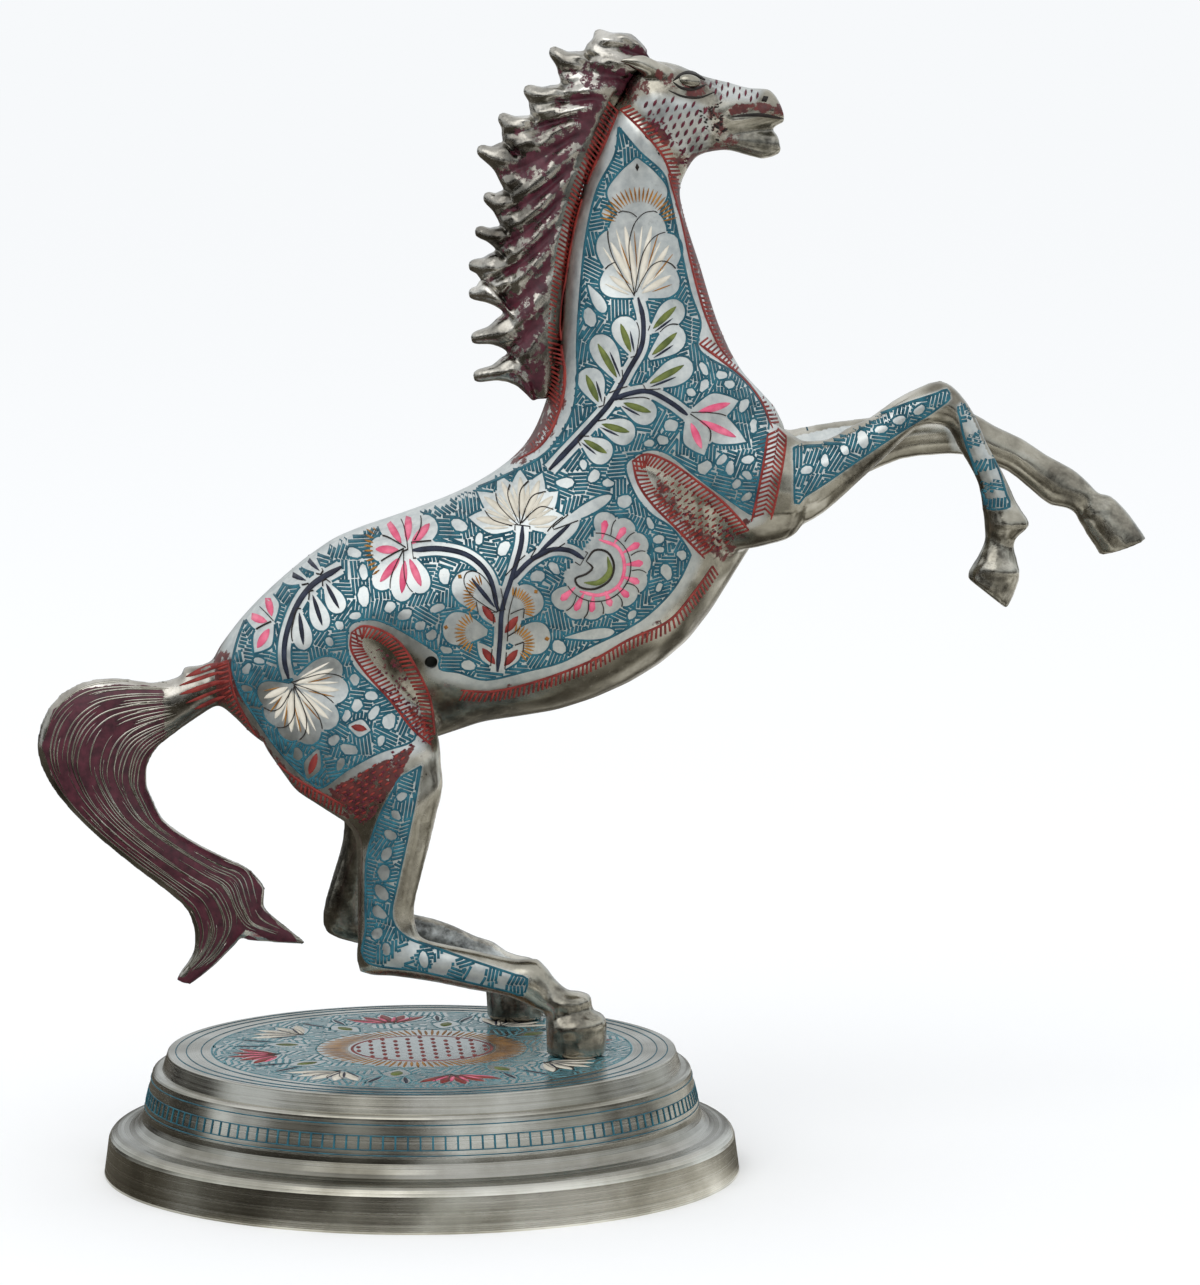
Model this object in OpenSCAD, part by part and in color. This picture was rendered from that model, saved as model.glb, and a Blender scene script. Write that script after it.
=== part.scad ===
// Rearing horse statue: sand-cast brass pieces brazed together and screwed to a turned plinth.
// The horse faces +X, its left side is +Y, and the plinth stands on Z = 0 about the Z axis.

/* [Plinth] */
// Diameter of the foot that stands on the table
plinth_d = 150; // [130:1:180]
// Height of the plinth
plinth_h = 28.6; // [24:0.2:36]
// Diameter of the flat top
plinth_top_d = 120; // [104:1:124]
// Height of the band round the foot
foot_band_h = 10.5; // [9:0.5:12]
// How far the foot band leans in below its rounded shoulder
foot_band_lean = 1; // [0.4:0.2:2]
// Radius of the foot band's rounded shoulder
shoulder_r = 3; // [2:0.5:4]
// Diameter at the bottom of the engraved waist band
waist_d = 131; // [128:1:134]
// Height of the engraved waist band
waist_h = 9.3; // [8:0.1:10]
// Height of the fascia under the top edge
fascia_h = 4; // [3:0.5:5]
// How far each band steps in from the one below it
band_step = 1.2; // [0.6:0.2:2]
// Radius of the bead at the top of the waist band
bead_r = 1.2; // [0.8:0.1:1.6]
// Radius that the lathe leaves on the top edge
edge_r = 0.4; // [0.2:0.1:0.8]
// Thickness of the hollow plinth's wall
plinth_wall = 4; // [3:0.5:6]

/* [Figure] */
// Height from the top of the plinth to the top of the forelock
figure_h = 240; // [220:2:260]
// Greatest width of the barrel
barrel_w = 54; // [46:1:60]
// Width of the neck behind the jaw
throat_w = 21; // [17:1:25]
// Width across the cheeks
cheek_w = 21; // [17:1:25]
// Width of each haunch
haunch_w = 25; // [21:1:28]
// Width of a cannon bone, the thin part of each leg
cannon_w = 8.4; // [7:0.2:10]
// Distance from the middle of the left hind hoof to the edge of the plinth's top
hoof_edge = 14.5; // [13:0.5:18]
// Distance between the middles of the hind hooves
hind_spread = 50; // [46:1:54]
// Distance between the middles of the forelegs
fore_spread = 32; // [30:1:36]
// Thickness of the tail plume
tail_w = 8.4; // [6:0.4:11]
// Thickness of the mane at its root
mane_w = 13; // [9:1:15]
// Wall of the hollow-cast body
body_wall = 3.5; // [2.5:0.5:5]
// Diameter of the core vent in the right flank
vent_d = 3; // [2:0.5:4]

/* [Joints] */
// Diameter of the spigots on the head, tail and legs
spigot_d = 7; // [5:0.5:8]
// Length of a spigot inside its socket
spigot_l = 8; // [5:0.5:9]
// Length of a spigot's root inside its own casting
spigot_root = 8; // [6:0.5:10]
// Gap round each spigot that the braze fills
braze_gap = 0.15; // [0.1:0.05:0.3]

/* [Fasteners] */
// Thread diameter of the hoof screws
screw_d = 5; // [4:0.5:6]
// How far a hoof screw reaches into its hoof
screw_grip = 8; // [6:0.5:10]
// Diameter of the screw heads
screw_head_d = 8.6; // [8:0.2:9.6]
// Height of the screw heads
screw_head_h = 3; // [2:0.2:4]
// Width of the screwdriver slot
slot_w = 1.2; // [0.8:0.1:1.6]
// Diameter of the washers
washer_d = 12; // [11:0.5:14]
// Thickness of the washers
washer_t = 1; // [0.6:0.1:1.6]
// Gap round a screw's thread in its hoof
thread_gap = 0.1; // [0.05:0.05:0.2]
// Gap round a screw in the plinth and in the washer
screw_clearance = 0.25; // [0.15:0.05:0.4]

/* [Hidden] */

brass = "#b3ad97";
lacquered = "#5a2a33";
steel = "#8c8f92";

right = -1;
left = 1;

// Places on the figure are drawn for a figure this high, from the middle of the plinth's top.
drawn_h = 240;
figure_scale = figure_h / drawn_h;

round_fn = 32;
body_sides = 26;
leg_sides = 12;
lock_sides = 8;
pad_sides = 16;

// Half the thickness of a muscle's pads, as a share of their length
pad_share = 0.22;
// How far back a casting's root is sunk into the piece that it is joined to, as a part of the
// way to the rung before the seat, and how much smaller the root is there
sink_part = 0.4;
sink_share = 0.9;

// A rung is one cross-section of a casting, seen from the side: the two ends of the rung on
// the outline, where its middle lies sideways, and half its width:
// [upper x, upper z, lower x, lower z, middle y, half width].

// Half widths of the body, as shares of the barrel's.
half_barrel = barrel_w / 2 / figure_scale;
half_throat = throat_w / 2 / figure_scale;
body_rungs = [
    [-48, 93, -47, 80.5, 0, 0.24 * half_barrel],
    [-42, 101, -43, 77, 0, 0.55 * half_barrel],
    [-33, 110, -35, 70, 0, 0.78 * half_barrel],
    [-20, 120, -20, 68, 0, 0.92 * half_barrel],
    [-6.5, 125, 0, 71, 0, 0.98 * half_barrel],
    [7.5, 130, 15, 76, 0, half_barrel],
    [18, 135.5, 32.5, 78.5, 0, half_barrel],
    [25.5, 142, 50, 85, 0, half_barrel],
    [29.5, 150, 64, 95, 0, 0.96 * half_barrel],
    [32, 159, 74.5, 110, 0, 0.91 * half_barrel],
    [33, 167, 83, 125, 0, 0.84 * half_barrel],
    [33.5, 174.5, 87.5, 140.5, 0, 0.77 * half_barrel],
    [34, 181.5, 84.5, 150.5, 0, 0.68 * half_barrel],
    [35, 188, 77, 158.5, 0, 1.4 * half_throat],
    [37, 197, 71.2, 170, 0, 1.24 * half_throat],
    [40, 206, 67, 183.5, 0, 1.12 * half_throat],
    [43, 215, 63.3, 194.5, 0, 1.04 * half_throat],
    [46.5, 222.5, 61.3, 203, 0, half_throat]];

// The haunch ends at the seat of the hind leg.
half_haunch = haunch_w / 2 / figure_scale;
half_cannon = cannon_w / 2 / figure_scale;
hind_y = hind_spread / 2 / figure_scale;
hind_seat = [4.5, 73, -20, 56.5, hind_y - 4.5, 0.76 * half_haunch];
haunch_rungs = [
    [-17, 113, -34, 103, hind_y - 19, 0.7 * half_haunch],
    [-8, 100, -39, 87, hind_y - 14.5, half_haunch],
    [0, 87, -38, 73.5, hind_y - 10.5, half_haunch],
    [3.5, 79, -31, 63.5, hind_y - 7, 0.88 * half_haunch],
    hind_seat];
right_hind_rungs = [
    sunk(hind_seat, haunch_rungs[3]),
    [5.5, 65.5, -16.5, 53, hind_y - 3.5, 0.68 * half_haunch],
    [3.5, 57.5, -15.5, 48, hind_y - 2.5, 0.58 * half_haunch],
    [1.5, 49.5, -15.5, 42, hind_y - 1.5, 0.5 * half_haunch],
    [-0.5, 42, -15.5, 34.5, hind_y - 1, 1.3 * half_cannon],
    [-2, 35.5, -15.5, 27, hind_y - 0.5, 1.24 * half_cannon],
    [-1, 29, -15, 20.3, hind_y, 1.24 * half_cannon],
    [4, 27, -7.5, 19.3, hind_y, 1.16 * half_cannon],
    [11, 25.5, 2.5, 17.7, hind_y, 1.07 * half_cannon],
    [17, 24, 11, 15.8, hind_y, half_cannon],
    [22, 23, 18, 14.5, hind_y, 1.02 * half_cannon],
    [27, 23, 23, 12.7, hind_y, 1.2 * half_cannon],
    [31, 18, 26, 11, hind_y, 1.05 * half_cannon],
    [34.5, 15.2, 28.3, 10, hind_y, 1.28 * half_cannon],
    [39, 14.2, 28.5, 7, hind_y, 1.55 * half_cannon],
    [43, 7.5, 28.6, 3.2, hind_y, 1.7 * half_cannon],
    [42.6, 0, 28.8, 0, hind_y, 1.7 * half_cannon]];
left_hind_rungs = [
    sunk(hind_seat, haunch_rungs[3]),
    [3, 64.5, -18, 52, hind_y - 3.5, 0.68 * half_haunch],
    [0.5, 56, -17.5, 46, hind_y - 2.5, 0.58 * half_haunch],
    [-3, 48, -19, 39.5, hind_y - 1.5, 0.5 * half_haunch],
    [-6, 40.5, -21, 33, hind_y - 1, 1.3 * half_cannon],
    [-8.5, 34, -22.5, 26.5, hind_y - 0.5, 1.24 * half_cannon],
    [-8, 28.5, -21.5, 21.5, hind_y, 1.24 * half_cannon],
    [-2.5, 26.5, -14.5, 19, hind_y, 1.16 * half_cannon],
    [4, 25, -4.5, 17, hind_y, 1.07 * half_cannon],
    [9.5, 23, 4, 15, hind_y, half_cannon],
    [14.5, 20.5, 10.5, 13, hind_y, 1.02 * half_cannon],
    [19, 19, 14, 11, hind_y, 1.2 * half_cannon],
    [22, 16.7, 15.5, 9, hind_y, 1.05 * half_cannon],
    [25.5, 15.5, 16.8, 7.5, hind_y, 1.28 * half_cannon],
    [30, 14, 17, 6, hind_y, 1.55 * half_cannon],
    [31.3, 7, 17.2, 3, hind_y, 1.7 * half_cannon],
    [31, 0, 17.4, 0, hind_y, 1.7 * half_cannon]];
right_hoof = right_hind_rungs[len(right_hind_rungs) - 1];
left_hoof = left_hind_rungs[len(left_hind_rungs) - 1];

// How far the figure stands to its left of the plinth's middle
left_hoof_x = middle(left_hoof)[0] * figure_scale;
left_hoof_y = sqrt(pow(plinth_top_d / 2 - hoof_edge, 2) - pow(left_hoof_x, 2));
figure_y = left_hoof_y - hind_spread / 2;

// The shoulder ends at the seat of the foreleg.
fore_y = fore_spread / 2 / figure_scale;
fore_seat = [90, 143, 84.5, 120, fore_y - 1, 2.1 * half_cannon];
shoulder_rungs = [
    [60, 154, 50, 121, fore_y - 10, 2.8 * half_cannon],
    [73.5, 151.5, 65, 117, fore_y - 6, 2.9 * half_cannon],
    [83, 147.5, 76, 117.5, fore_y - 3, 2.5 * half_cannon],
    fore_seat];
right_foreleg_rungs = [
    sunk(fore_seat, shoulder_rungs[2]),
    [95, 143.7, 91.5, 124.5, fore_y - 0.5, 1.85 * half_cannon],
    [100, 146.5, 97, 128.5, fore_y, 1.6 * half_cannon],
    [105.5, 149, 103, 134, fore_y, 1.38 * half_cannon],
    [111, 153, 109.5, 140, fore_y, 1.24 * half_cannon],
    [117, 156, 116, 146, fore_y, 1.2 * half_cannon],
    [122, 157.5, 120.5, 147, fore_y, 1.2 * half_cannon],
    [126, 155, 124, 146, fore_y, 1.16 * half_cannon],
    [130, 149.5, 126, 142, fore_y, 1.07 * half_cannon],
    [133, 142.5, 128.5, 138, fore_y, half_cannon],
    [137, 135.5, 131, 133, fore_y, 0.92 * half_cannon],
    [140, 129, 132, 127, fore_y, 0.94 * half_cannon],
    [143, 123.5, 132.5, 122.5, fore_y, 1.1 * half_cannon],
    [140.5, 120, 132, 118.5, fore_y, half_cannon],
    [140, 117, 130.5, 115, fore_y, 1.07 * half_cannon],
    [141, 110.5, 129, 113, fore_y, 1.3 * half_cannon],
    [138, 103.5, 128.5, 111, fore_y, 1.3 * half_cannon]];
left_foreleg_rungs = [
    sunk(fore_seat, shoulder_rungs[2]),
    [98.5, 145.5, 97, 128.5, fore_y, 1.6 * half_cannon],
    [107, 146.5, 107, 132.5, fore_y, 1.38 * half_cannon],
    [117.5, 148, 116.5, 136.5, fore_y, 1.24 * half_cannon],
    [126, 149.5, 125, 137.5, fore_y, 1.2 * half_cannon],
    [132.5, 148.5, 131.5, 137.5, fore_y, 1.16 * half_cannon],
    [139.5, 144.5, 137, 135.5, fore_y, 1.07 * half_cannon],
    [146, 141.5, 142.5, 133.5, fore_y, half_cannon],
    [152, 137.5, 147.5, 129.5, fore_y, 0.98 * half_cannon],
    [158.5, 134, 153, 125, fore_y, 1.05 * half_cannon],
    [162.5, 130.5, 157, 124, fore_y, 1.1 * half_cannon],
    [165.5, 128, 160, 122, fore_y, half_cannon],
    [169, 126.5, 161.5, 118.5, fore_y, 1.12 * half_cannon],
    [173, 122, 164, 115, fore_y, 1.3 * half_cannon],
    [176.5, 117, 165, 113, fore_y, 1.3 * half_cannon]];

// The head starts at the cut end of the neck and tapers to the nose.
half_cheek = cheek_w / 2 / figure_scale;
throat_seat = body_rungs[len(body_rungs) - 1];
skull_rungs = [
    sunk(throat_seat, body_rungs[len(body_rungs) - 2]),
    [50.5, 230, 65, 208.5, 0, 1.02 * half_cheek],
    [55.5, 232, 68, 210.3, 0, half_cheek],
    [61.5, 231, 70.8, 211.2, 0, 0.88 * half_cheek],
    [67, 228.5, 73.2, 213, 0, 0.72 * half_cheek],
    [73, 227, 76, 214, 0, 0.62 * half_cheek],
    [78.5, 225.5, 79.5, 215, 0, 0.56 * half_cheek],
    [83, 225.3, 83, 216, 0, 0.52 * half_cheek],
    [85.2, 222.5, 86.8, 217.5, 0, 0.38 * half_cheek]];
jaw_rungs = [
    [64, 215, 67, 210, 0, 0.62 * half_cheek],
    [71, 216, 72.5, 211, 0, 0.52 * half_cheek],
    [76.5, 216.5, 77, 209.8, 0, 0.46 * half_cheek],
    [81.5, 216.3, 81.5, 208.6, 0, 0.42 * half_cheek],
    [84.8, 215, 85.8, 210.2, 0, 0.34 * half_cheek]];

// The tail is a flat plume that curls back and forks into two points.
half_tail = tail_w / 2 / figure_scale;
dock_seat = body_rungs[0];
tail_rungs = [
    [-45.5, 92.5, -45, 82, 0, 0.21 * half_barrel],
    [-52.5, 89.5, -50.5, 78.5, 0, 1.34 * half_tail],
    [-57.5, 87, -54.5, 76, 0, 1.17 * half_tail],
    [-63.5, 86, -58.5, 73, 0, 1.05 * half_tail],
    [-71.5, 87.3, -61.5, 70.5, 0, half_tail],
    [-80.5, 86, -63.5, 67.5, 0, half_tail],
    [-87.5, 80.5, -64.2, 64.5, 0, half_tail],
    [-90.5, 71.3, -64, 61, 0, half_tail],
    [-88, 63, -62.5, 57.5, 0, 0.98 * half_tail],
    [-82.5, 55.5, -60.5, 53.5, 0, 0.95 * half_tail],
    [-75.5, 48.5, -57, 50.5, 0, 0.92 * half_tail],
    [-66.5, 41, -52, 47.3, 0, 0.88 * half_tail],
    [-59.5, 35.5, -45.5, 44, 0, 0.84 * half_tail],
    [-55, 31, -40, 41.3, 0, 0.8 * half_tail],
    [-53.5, 26, -36.5, 37, 0, 0.74 * half_tail]];
low_point_rungs = [
    [-55, 31, -40, 41.3, 0, 0.8 * half_tail],
    [-53.5, 26, -41, 27.3, 0, 0.7 * half_tail],
    [-54, 21, -46, 20.7, 0, 0.6 * half_tail],
    [-57, 16.7, -50.5, 16.5, 0, 0.5 * half_tail],
    [-58, 14.7, -54.5, 13.5, 0, 0.35 * half_tail]];
side_point_rungs = [
    [-40, 41.3, -55, 31, 0, 0.8 * half_tail],
    [-36.5, 37, -44.5, 26, 0, 0.7 * half_tail],
    [-37, 32.5, -41, 24, 0, 0.6 * half_tail],
    [-33.5, 29, -36, 23.5, 0, 0.45 * half_tail],
    [-27, 23.5, -27.5, 22.8, 0, 0.2 * half_tail]];

// The mane is a crest along the neck with a row of flame-shaped locks.
half_mane = mane_w / 2 / figure_scale;
crest_rungs = [
    [51, 237.5, 56.5, 230, 0, 0.7 * half_mane],
    [42, 234, 50, 226, 0, 0.85 * half_mane],
    [34.5, 226, 46.5, 219, 0, 0.92 * half_mane],
    [27.5, 218, 42.5, 210, 0, 0.95 * half_mane],
    [22.5, 209.5, 39.5, 202, 0, half_mane],
    [21.5, 200, 37, 194, 0, half_mane],
    [20.5, 191, 36, 186, 0, half_mane],
    [19.5, 182.5, 35.5, 178.5, 0, half_mane],
    [20.5, 173, 35.5, 170.5, 0, 0.95 * half_mane],
    [22, 163.5, 34.5, 162, 0, 0.85 * half_mane],
    [27, 152.5, 33.5, 153, 0, 0.6 * half_mane]];
// The notches between the locks, from the forelock down, and the tip of each lock.
notches = [
    [50.5, 238.3], [39.5, 234], [34, 226.5], [27, 219], [20.5, 213], [21, 201.5],
    [20, 193], [19, 187.5], [15.5, 180.5], [20.5, 173], [21.5, 163.5], [23.5, 155.5]];
lock_tips = [
    [42.5, 238], [32, 234], [26, 225], [20, 218.5], [15, 211], [16.5, 200],
    [14.5, 192], [13, 184], [13, 177.5], [13.5, 167], [14, 158]];
// Half the height of a lock's blunt tip
tip_half = 0.7;
// How far a lock's root reaches into the crest, forwards and down
lock_root = [4, -4];

// Points and lofts

// A point part of the way from b to c on the smooth curve through a, b, c and d.
function curve_point(a, b, c, d, t) =
    (2 * b + (c - a) * t + (2 * a - 5 * b + 4 * c - d) * t * t
        + (3 * b - a - 3 * c + d) * t * t * t) / 2;

// The rungs with smooth ones added between them.
function smoothed(rungs, steps) = [
    for (i = [0:len(rungs) - 2])
        for (s = [0:steps - 1])
            curve_point(rungs[max(i - 1, 0)], rungs[i], rungs[i + 1],
                rungs[min(i + 2, len(rungs) - 1)], s / steps),
    rungs[len(rungs) - 1]];

// The oval outline of one rung.
function oval(rung, sides) = [
    for (j = [0:sides - 1])
        let (up = (1 + sin(360 * j / sides)) / 2)
            [rung[2] + (rung[0] - rung[2]) * up,
                rung[4] + rung[5] * cos(360 * j / sides),
                rung[3] + (rung[1] - rung[3]) * up]];

// The same rungs drawn in by a wall on every side.
function drawn_in(rungs, wall) = [
    for (rung = rungs)
        let (length = norm([rung[0] - rung[2], rung[1] - rung[3]]),
            dx = (rung[0] - rung[2]) / length * wall,
            dz = (rung[1] - rung[3]) / length * wall)
            [rung[0] - dx, rung[1] - dz, rung[2] + dx, rung[3] + dz, rung[4], rung[5] - wall]];

// The same rungs on the other side of the horse.
function on_side(rungs, side) = [
    for (rung = rungs)
        [rung[0], rung[1], rung[2], rung[3], side * rung[4], rung[5]]];

// The middle of a rung.
function middle(rung) = [(rung[0] + rung[2]) / 2, rung[4], (rung[1] + rung[3]) / 2];

// The direction square to a rung, seen from the side.
function square_to(rung) =
    [rung[1] - rung[3], 0, rung[2] - rung[0]] / norm([rung[1] - rung[3], rung[2] - rung[0]]);

// A rung inside the piece that a casting is joined to: part of the way back from the seat to
// the rung before it, and a little smaller.
function sunk(seat, before) =
    let (rung = seat + (before - seat) * sink_part,
        centre = middle(rung))
        [for (k = [0:5])
            k == 4 ? rung[4]
            : k == 5 ? rung[5] * sink_share
            : centre[k % 2 * 2] + (rung[k] - centre[k % 2 * 2]) * sink_share];

// Whether the rungs run the way that turns the faces of a loft inside out.
function runs_backwards(rungs) =
    let (along = middle(rungs[1]) - middle(rungs[0]))
        (rungs[0][1] - rungs[0][3]) * along[0] < (rungs[0][0] - rungs[0][2]) * along[2];

// The same faces seen from their other side.
function turned_over(faces) = [for (face = faces) [for (k = [len(face) - 1:-1:0]) face[k]]];

// One closed skin through all the rungs.
module loft(rungs, sides, steps) {
    sections = smoothed(rungs, steps);
    last = len(sections) - 1;
    skin = [for (i = [0:last - 1], j = [0:sides - 1], half = [0, 1])
        let (a = i * sides + j, b = i * sides + (j + 1) % sides)
            half == 0 ? [a, a + sides, b] : [b, a + sides, b + sides]];
    ends = [[for (j = [0:sides - 1]) j], [for (j = [sides - 1:-1:0]) last * sides + j]];
    faces = concat(skin, ends);
    polyhedron([for (section = sections) each oval(section, sides)],
        runs_backwards(rungs) ? turned_over(faces) : faces);
}

// A flat oval pad on one rung.
module pad(rung) {
    length = norm([rung[0] - rung[2], rung[1] - rung[3]]);
    translate(middle(rung))
        rotate([0, atan2(rung[3] - rung[1], rung[0] - rung[2]), 0])
            scale([length / 2, rung[5], pad_share * length]) sphere(r = 1, $fn = pad_sides);
}

// A muscle swells smoothly from pad to pad.
module muscle(rungs) {
    for (i = [0:len(rungs) - 2])
        hull() {
            pad(rungs[i]);
            pad(rungs[i + 1]);
        }
}

// Sets what is drawn in figure sizes on top of the plinth, about the figure's middle plane.
module on_plinth() {
    translate([0, 0, plinth_h]) scale(figure_scale) children();
}

// Moves what is drawn about the figure's middle plane to where the figure stands.
module at_figure() {
    translate([0, figure_y, 0]) children();
}

// A rod of real size through a rung's middle, square to the rung, that reaches l into the body.
module rod_at(rung, d, l, way) {
    start = middle(rung) * figure_scale;
    aim = way * square_to(rung);
    translate([start[0], start[1], start[2] + plinth_h])
        rotate([0, atan2(aim[0], aim[2]), 0])
            translate([0, 0, -spigot_root]) cylinder(d = d, h = l + spigot_root, $fn = round_fn);
}

module spigot(rung, way) {
    rod_at(rung, spigot_d, spigot_l, way);
}

module socket(rung, way) {
    rod_at(rung, spigot_d + 2 * braze_gap, spigot_l + braze_gap, way);
}

// Body castings

module body_skin() {
    on_plinth() {
        loft(body_rungs, body_sides, 2);
        for (side = [right, left]) {
            muscle(on_side(haunch_rungs, side));
            muscle(on_side(shoulder_rungs, side));
        }
    }
}

module body_hollow() {
    inner = [for (i = [2:len(body_rungs) - 3]) body_rungs[i]];
    on_plinth() loft(drawn_in(inner, body_wall / figure_scale), body_sides - 10, 1);
}

module body_sockets() {
    socket(throat_seat, -1);
    socket(dock_seat, 1);
    for (side = [right, left]) {
        socket(on_side([hind_seat], side)[0], -1);
        socket(on_side([fore_seat], side)[0], -1);
    }
}

// The half of the body on one side of the middle plane.
module body_half(side) {
    reach = 2 * figure_h;
    intersection() {
        difference() {
            body_skin();
            body_hollow();
            body_sockets();
        }
        translate([-reach, side > 0 ? 0 : -reach, 0]) cube([2 * reach, reach, reach]);
    }
}

module body_right_half() {
    vent = [2, 93] * figure_scale;
    color(brass)
        at_figure()
            difference() {
                body_half(right);
                translate([vent[0], 0, vent[1] + plinth_h])
                    rotate([90, 0, 0]) cylinder(d = vent_d, h = barrel_w, $fn = round_fn);
            }
}

module body_left_half() {
    color(brass) at_figure() body_half(left);
}

// Pieces brazed to the body

module eye_and_ear(side) {
    translate([62, side * 0.78 * half_cheek, 226.5]) scale([1.3, 0.8, 1]) sphere(r = 2, $fn = 10);
    hull() {
        translate([58, side * 0.6 * half_cheek, 228.5]) sphere(r = 2.4, $fn = 8);
        translate([52, side * 0.75 * half_cheek, 231.5]) sphere(r = 2, $fn = 8);
        translate([47.5, side * 0.85 * half_cheek, 232]) sphere(r = 0.6, $fn = 8);
    }
}

module head_skin() {
    on_plinth() {
        loft(skull_rungs, body_sides - 8, 2);
        loft(jaw_rungs, leg_sides, 2);
        for (side = [right, left]) eye_and_ear(side);
    }
}

module head() {
    color(brass)
        at_figure() {
            difference() {
                head_skin();
                body_skin();
            }
            spigot(throat_seat, -1);
        }
}

// The flame-shaped lock between one notch and the next, which thins towards its tip.
function lock_rungs(i) =
    let (above = notches[i],
        below = notches[i + 1],
        tip = lock_tips[i],
        halfway = (above + below) / 4 + tip / 2,
        spread = (above - below) * 0.19)
        [[above[0] + lock_root[0], above[1] + lock_root[1],
                below[0] + lock_root[0], below[1] + lock_root[1], 0, 0.8 * half_mane],
            [above[0], above[1], below[0], below[1], 0, 0.66 * half_mane],
            [halfway[0] + spread[0], halfway[1] + spread[1],
                halfway[0] - spread[0], halfway[1] - spread[1], 0, 0.42 * half_mane],
            [tip[0], tip[1] + tip_half, tip[0], tip[1] - tip_half, 0, 0.16 * half_mane]];

module mane() {
    color(lacquered)
        at_figure()
            difference() {
                on_plinth() {
                    loft(crest_rungs, leg_sides, 1);
                    for (i = [0:len(lock_tips) - 1]) loft(lock_rungs(i), lock_sides, 2);
                }
                body_skin();
                head_skin();
            }
}

module tail() {
    color(lacquered)
        at_figure() {
            difference() {
                on_plinth() {
                    loft(tail_rungs, leg_sides, 2);
                    loft(low_point_rungs, leg_sides, 2);
                    loft(side_point_rungs, leg_sides, 2);
                }
                body_skin();
            }
            spigot(dock_seat, 1);
        }
}

module leg(rungs, seat, side) {
    difference() {
        on_plinth() loft(on_side(rungs, side), leg_sides, 2);
        body_skin();
    }
    spigot(on_side([seat], side)[0], -1);
}

module foreleg_right() {
    color(brass) at_figure() leg(right_foreleg_rungs, fore_seat, right);
}

module foreleg_left() {
    color(brass) at_figure() leg(left_foreleg_rungs, fore_seat, left);
}

module hind_leg(rungs, side) {
    color(brass)
        at_figure()
            difference() {
                leg(rungs, hind_seat, side);
                under_hooves()
                    cylinder(d = screw_d + 2 * thread_gap, h = plinth_wall + screw_grip + thread_gap,
                        $fn = round_fn);
            }
}

module hind_leg_right() {
    hind_leg(right_hind_rungs, right);
}

module hind_leg_left() {
    hind_leg(left_hind_rungs, left);
}

// Plinth and fasteners

// Points of an arc round a centre, from one angle to another.
function arc(centre, r, from, to, steps) = [
    for (i = [0:steps])
        centre + r * [cos(from + (to - from) * i / steps), sin(from + (to - from) * i / steps)]];

// The turned outline, from the foot's lower edge up to the top's edge.
function plinth_outline() =
    let (foot_r = plinth_d / 2,
        waist_r = waist_d / 2,
        top_r = plinth_top_d / 2,
        fascia_z = plinth_h - fascia_h,
        waist_z = fascia_z - waist_h,
        cove_r = waist_z - foot_band_h)
        concat(
            [[foot_r, 0]],
            arc([foot_r - foot_band_lean - shoulder_r, foot_band_h - shoulder_r], shoulder_r, 0, 90, 6),
            arc([waist_r + cove_r, waist_z], cove_r, 270, 180, 6),
            arc([top_r + 2 * band_step, fascia_z - bead_r], bead_r, 0, 90, 4),
            [[top_r + band_step, fascia_z]],
            arc([top_r - edge_r, plinth_h - edge_r], edge_r, 0, 90, 3));

module plinth() {
    hollow_r = plinth_d / 2 - foot_band_lean - plinth_wall;
    neck_r = plinth_top_d / 2 - plinth_wall;
    color(brass)
        difference() {
            rotate_extrude($fn = 128)
                polygon(concat(
                    plinth_outline(),
                    [[0, plinth_h], [0, plinth_h - plinth_wall], [neck_r, plinth_h - plinth_wall],
                        [neck_r, foot_band_h], [hollow_r, foot_band_h - plinth_wall], [hollow_r, 0]]));
            at_figure()
                under_hooves()
                    translate([0, 0, -plinth_wall])
                        cylinder(d = screw_d + 2 * screw_clearance, h = 3 * plinth_wall, $fn = round_fn);
        }
}

// Places what is drawn once under each hind hoof.
module under_hooves() {
    for (hoof = [middle(on_side([right_hoof], right)[0]), middle(on_side([left_hoof], left)[0])])
        translate([hoof[0] * figure_scale, hoof[1] * figure_scale, plinth_h - plinth_wall])
            children();
}

module hoof_washers() {
    color(steel)
        at_figure()
            under_hooves()
                difference() {
                    translate([0, 0, -washer_t]) cylinder(d = washer_d, h = washer_t, $fn = round_fn);
                    translate([0, 0, -2 * washer_t])
                        cylinder(d = screw_d + 2 * screw_clearance, h = 3 * washer_t, $fn = round_fn);
                }
}

module hoof_screws() {
    shank_l = washer_t + plinth_wall + screw_grip;
    slot_depth = screw_head_h / 2;
    color(steel)
        at_figure()
            under_hooves()
                translate([0, 0, -washer_t])
                    difference() {
                        union() {
                            cylinder(d = screw_d, h = shank_l, $fn = round_fn);
                            translate([0, 0, -screw_head_h])
                                cylinder(d = screw_head_d, h = screw_head_h, $fn = round_fn);
                        }
                        translate([-screw_head_d, -slot_w / 2, -screw_head_h - slot_depth])
                            cube([2 * screw_head_d, slot_w, 2 * slot_depth]);
                    }
}

plinth();
body_right_half();
body_left_half();
head();
mane();
tail();
foreleg_right();
foreleg_left();
hind_leg_right();
hind_leg_left();
hoof_screws();
hoof_washers();
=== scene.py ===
# %% [markdown]
# # A rearing horse in engraved brass
#
# The statue is a set of sand-cast brass pieces, brazed together and filed until no joint shows,
# then engraved with flowers, filled with coloured lac and screwed to a turned plinth. The packed
# solids give every place and size. Here they get their soft casting surface, their engraving
# and their finishes.

import math
import random

import bpy
import numpy as np
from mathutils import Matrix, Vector
from mathutils.bvhtree import BVHTree


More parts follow.
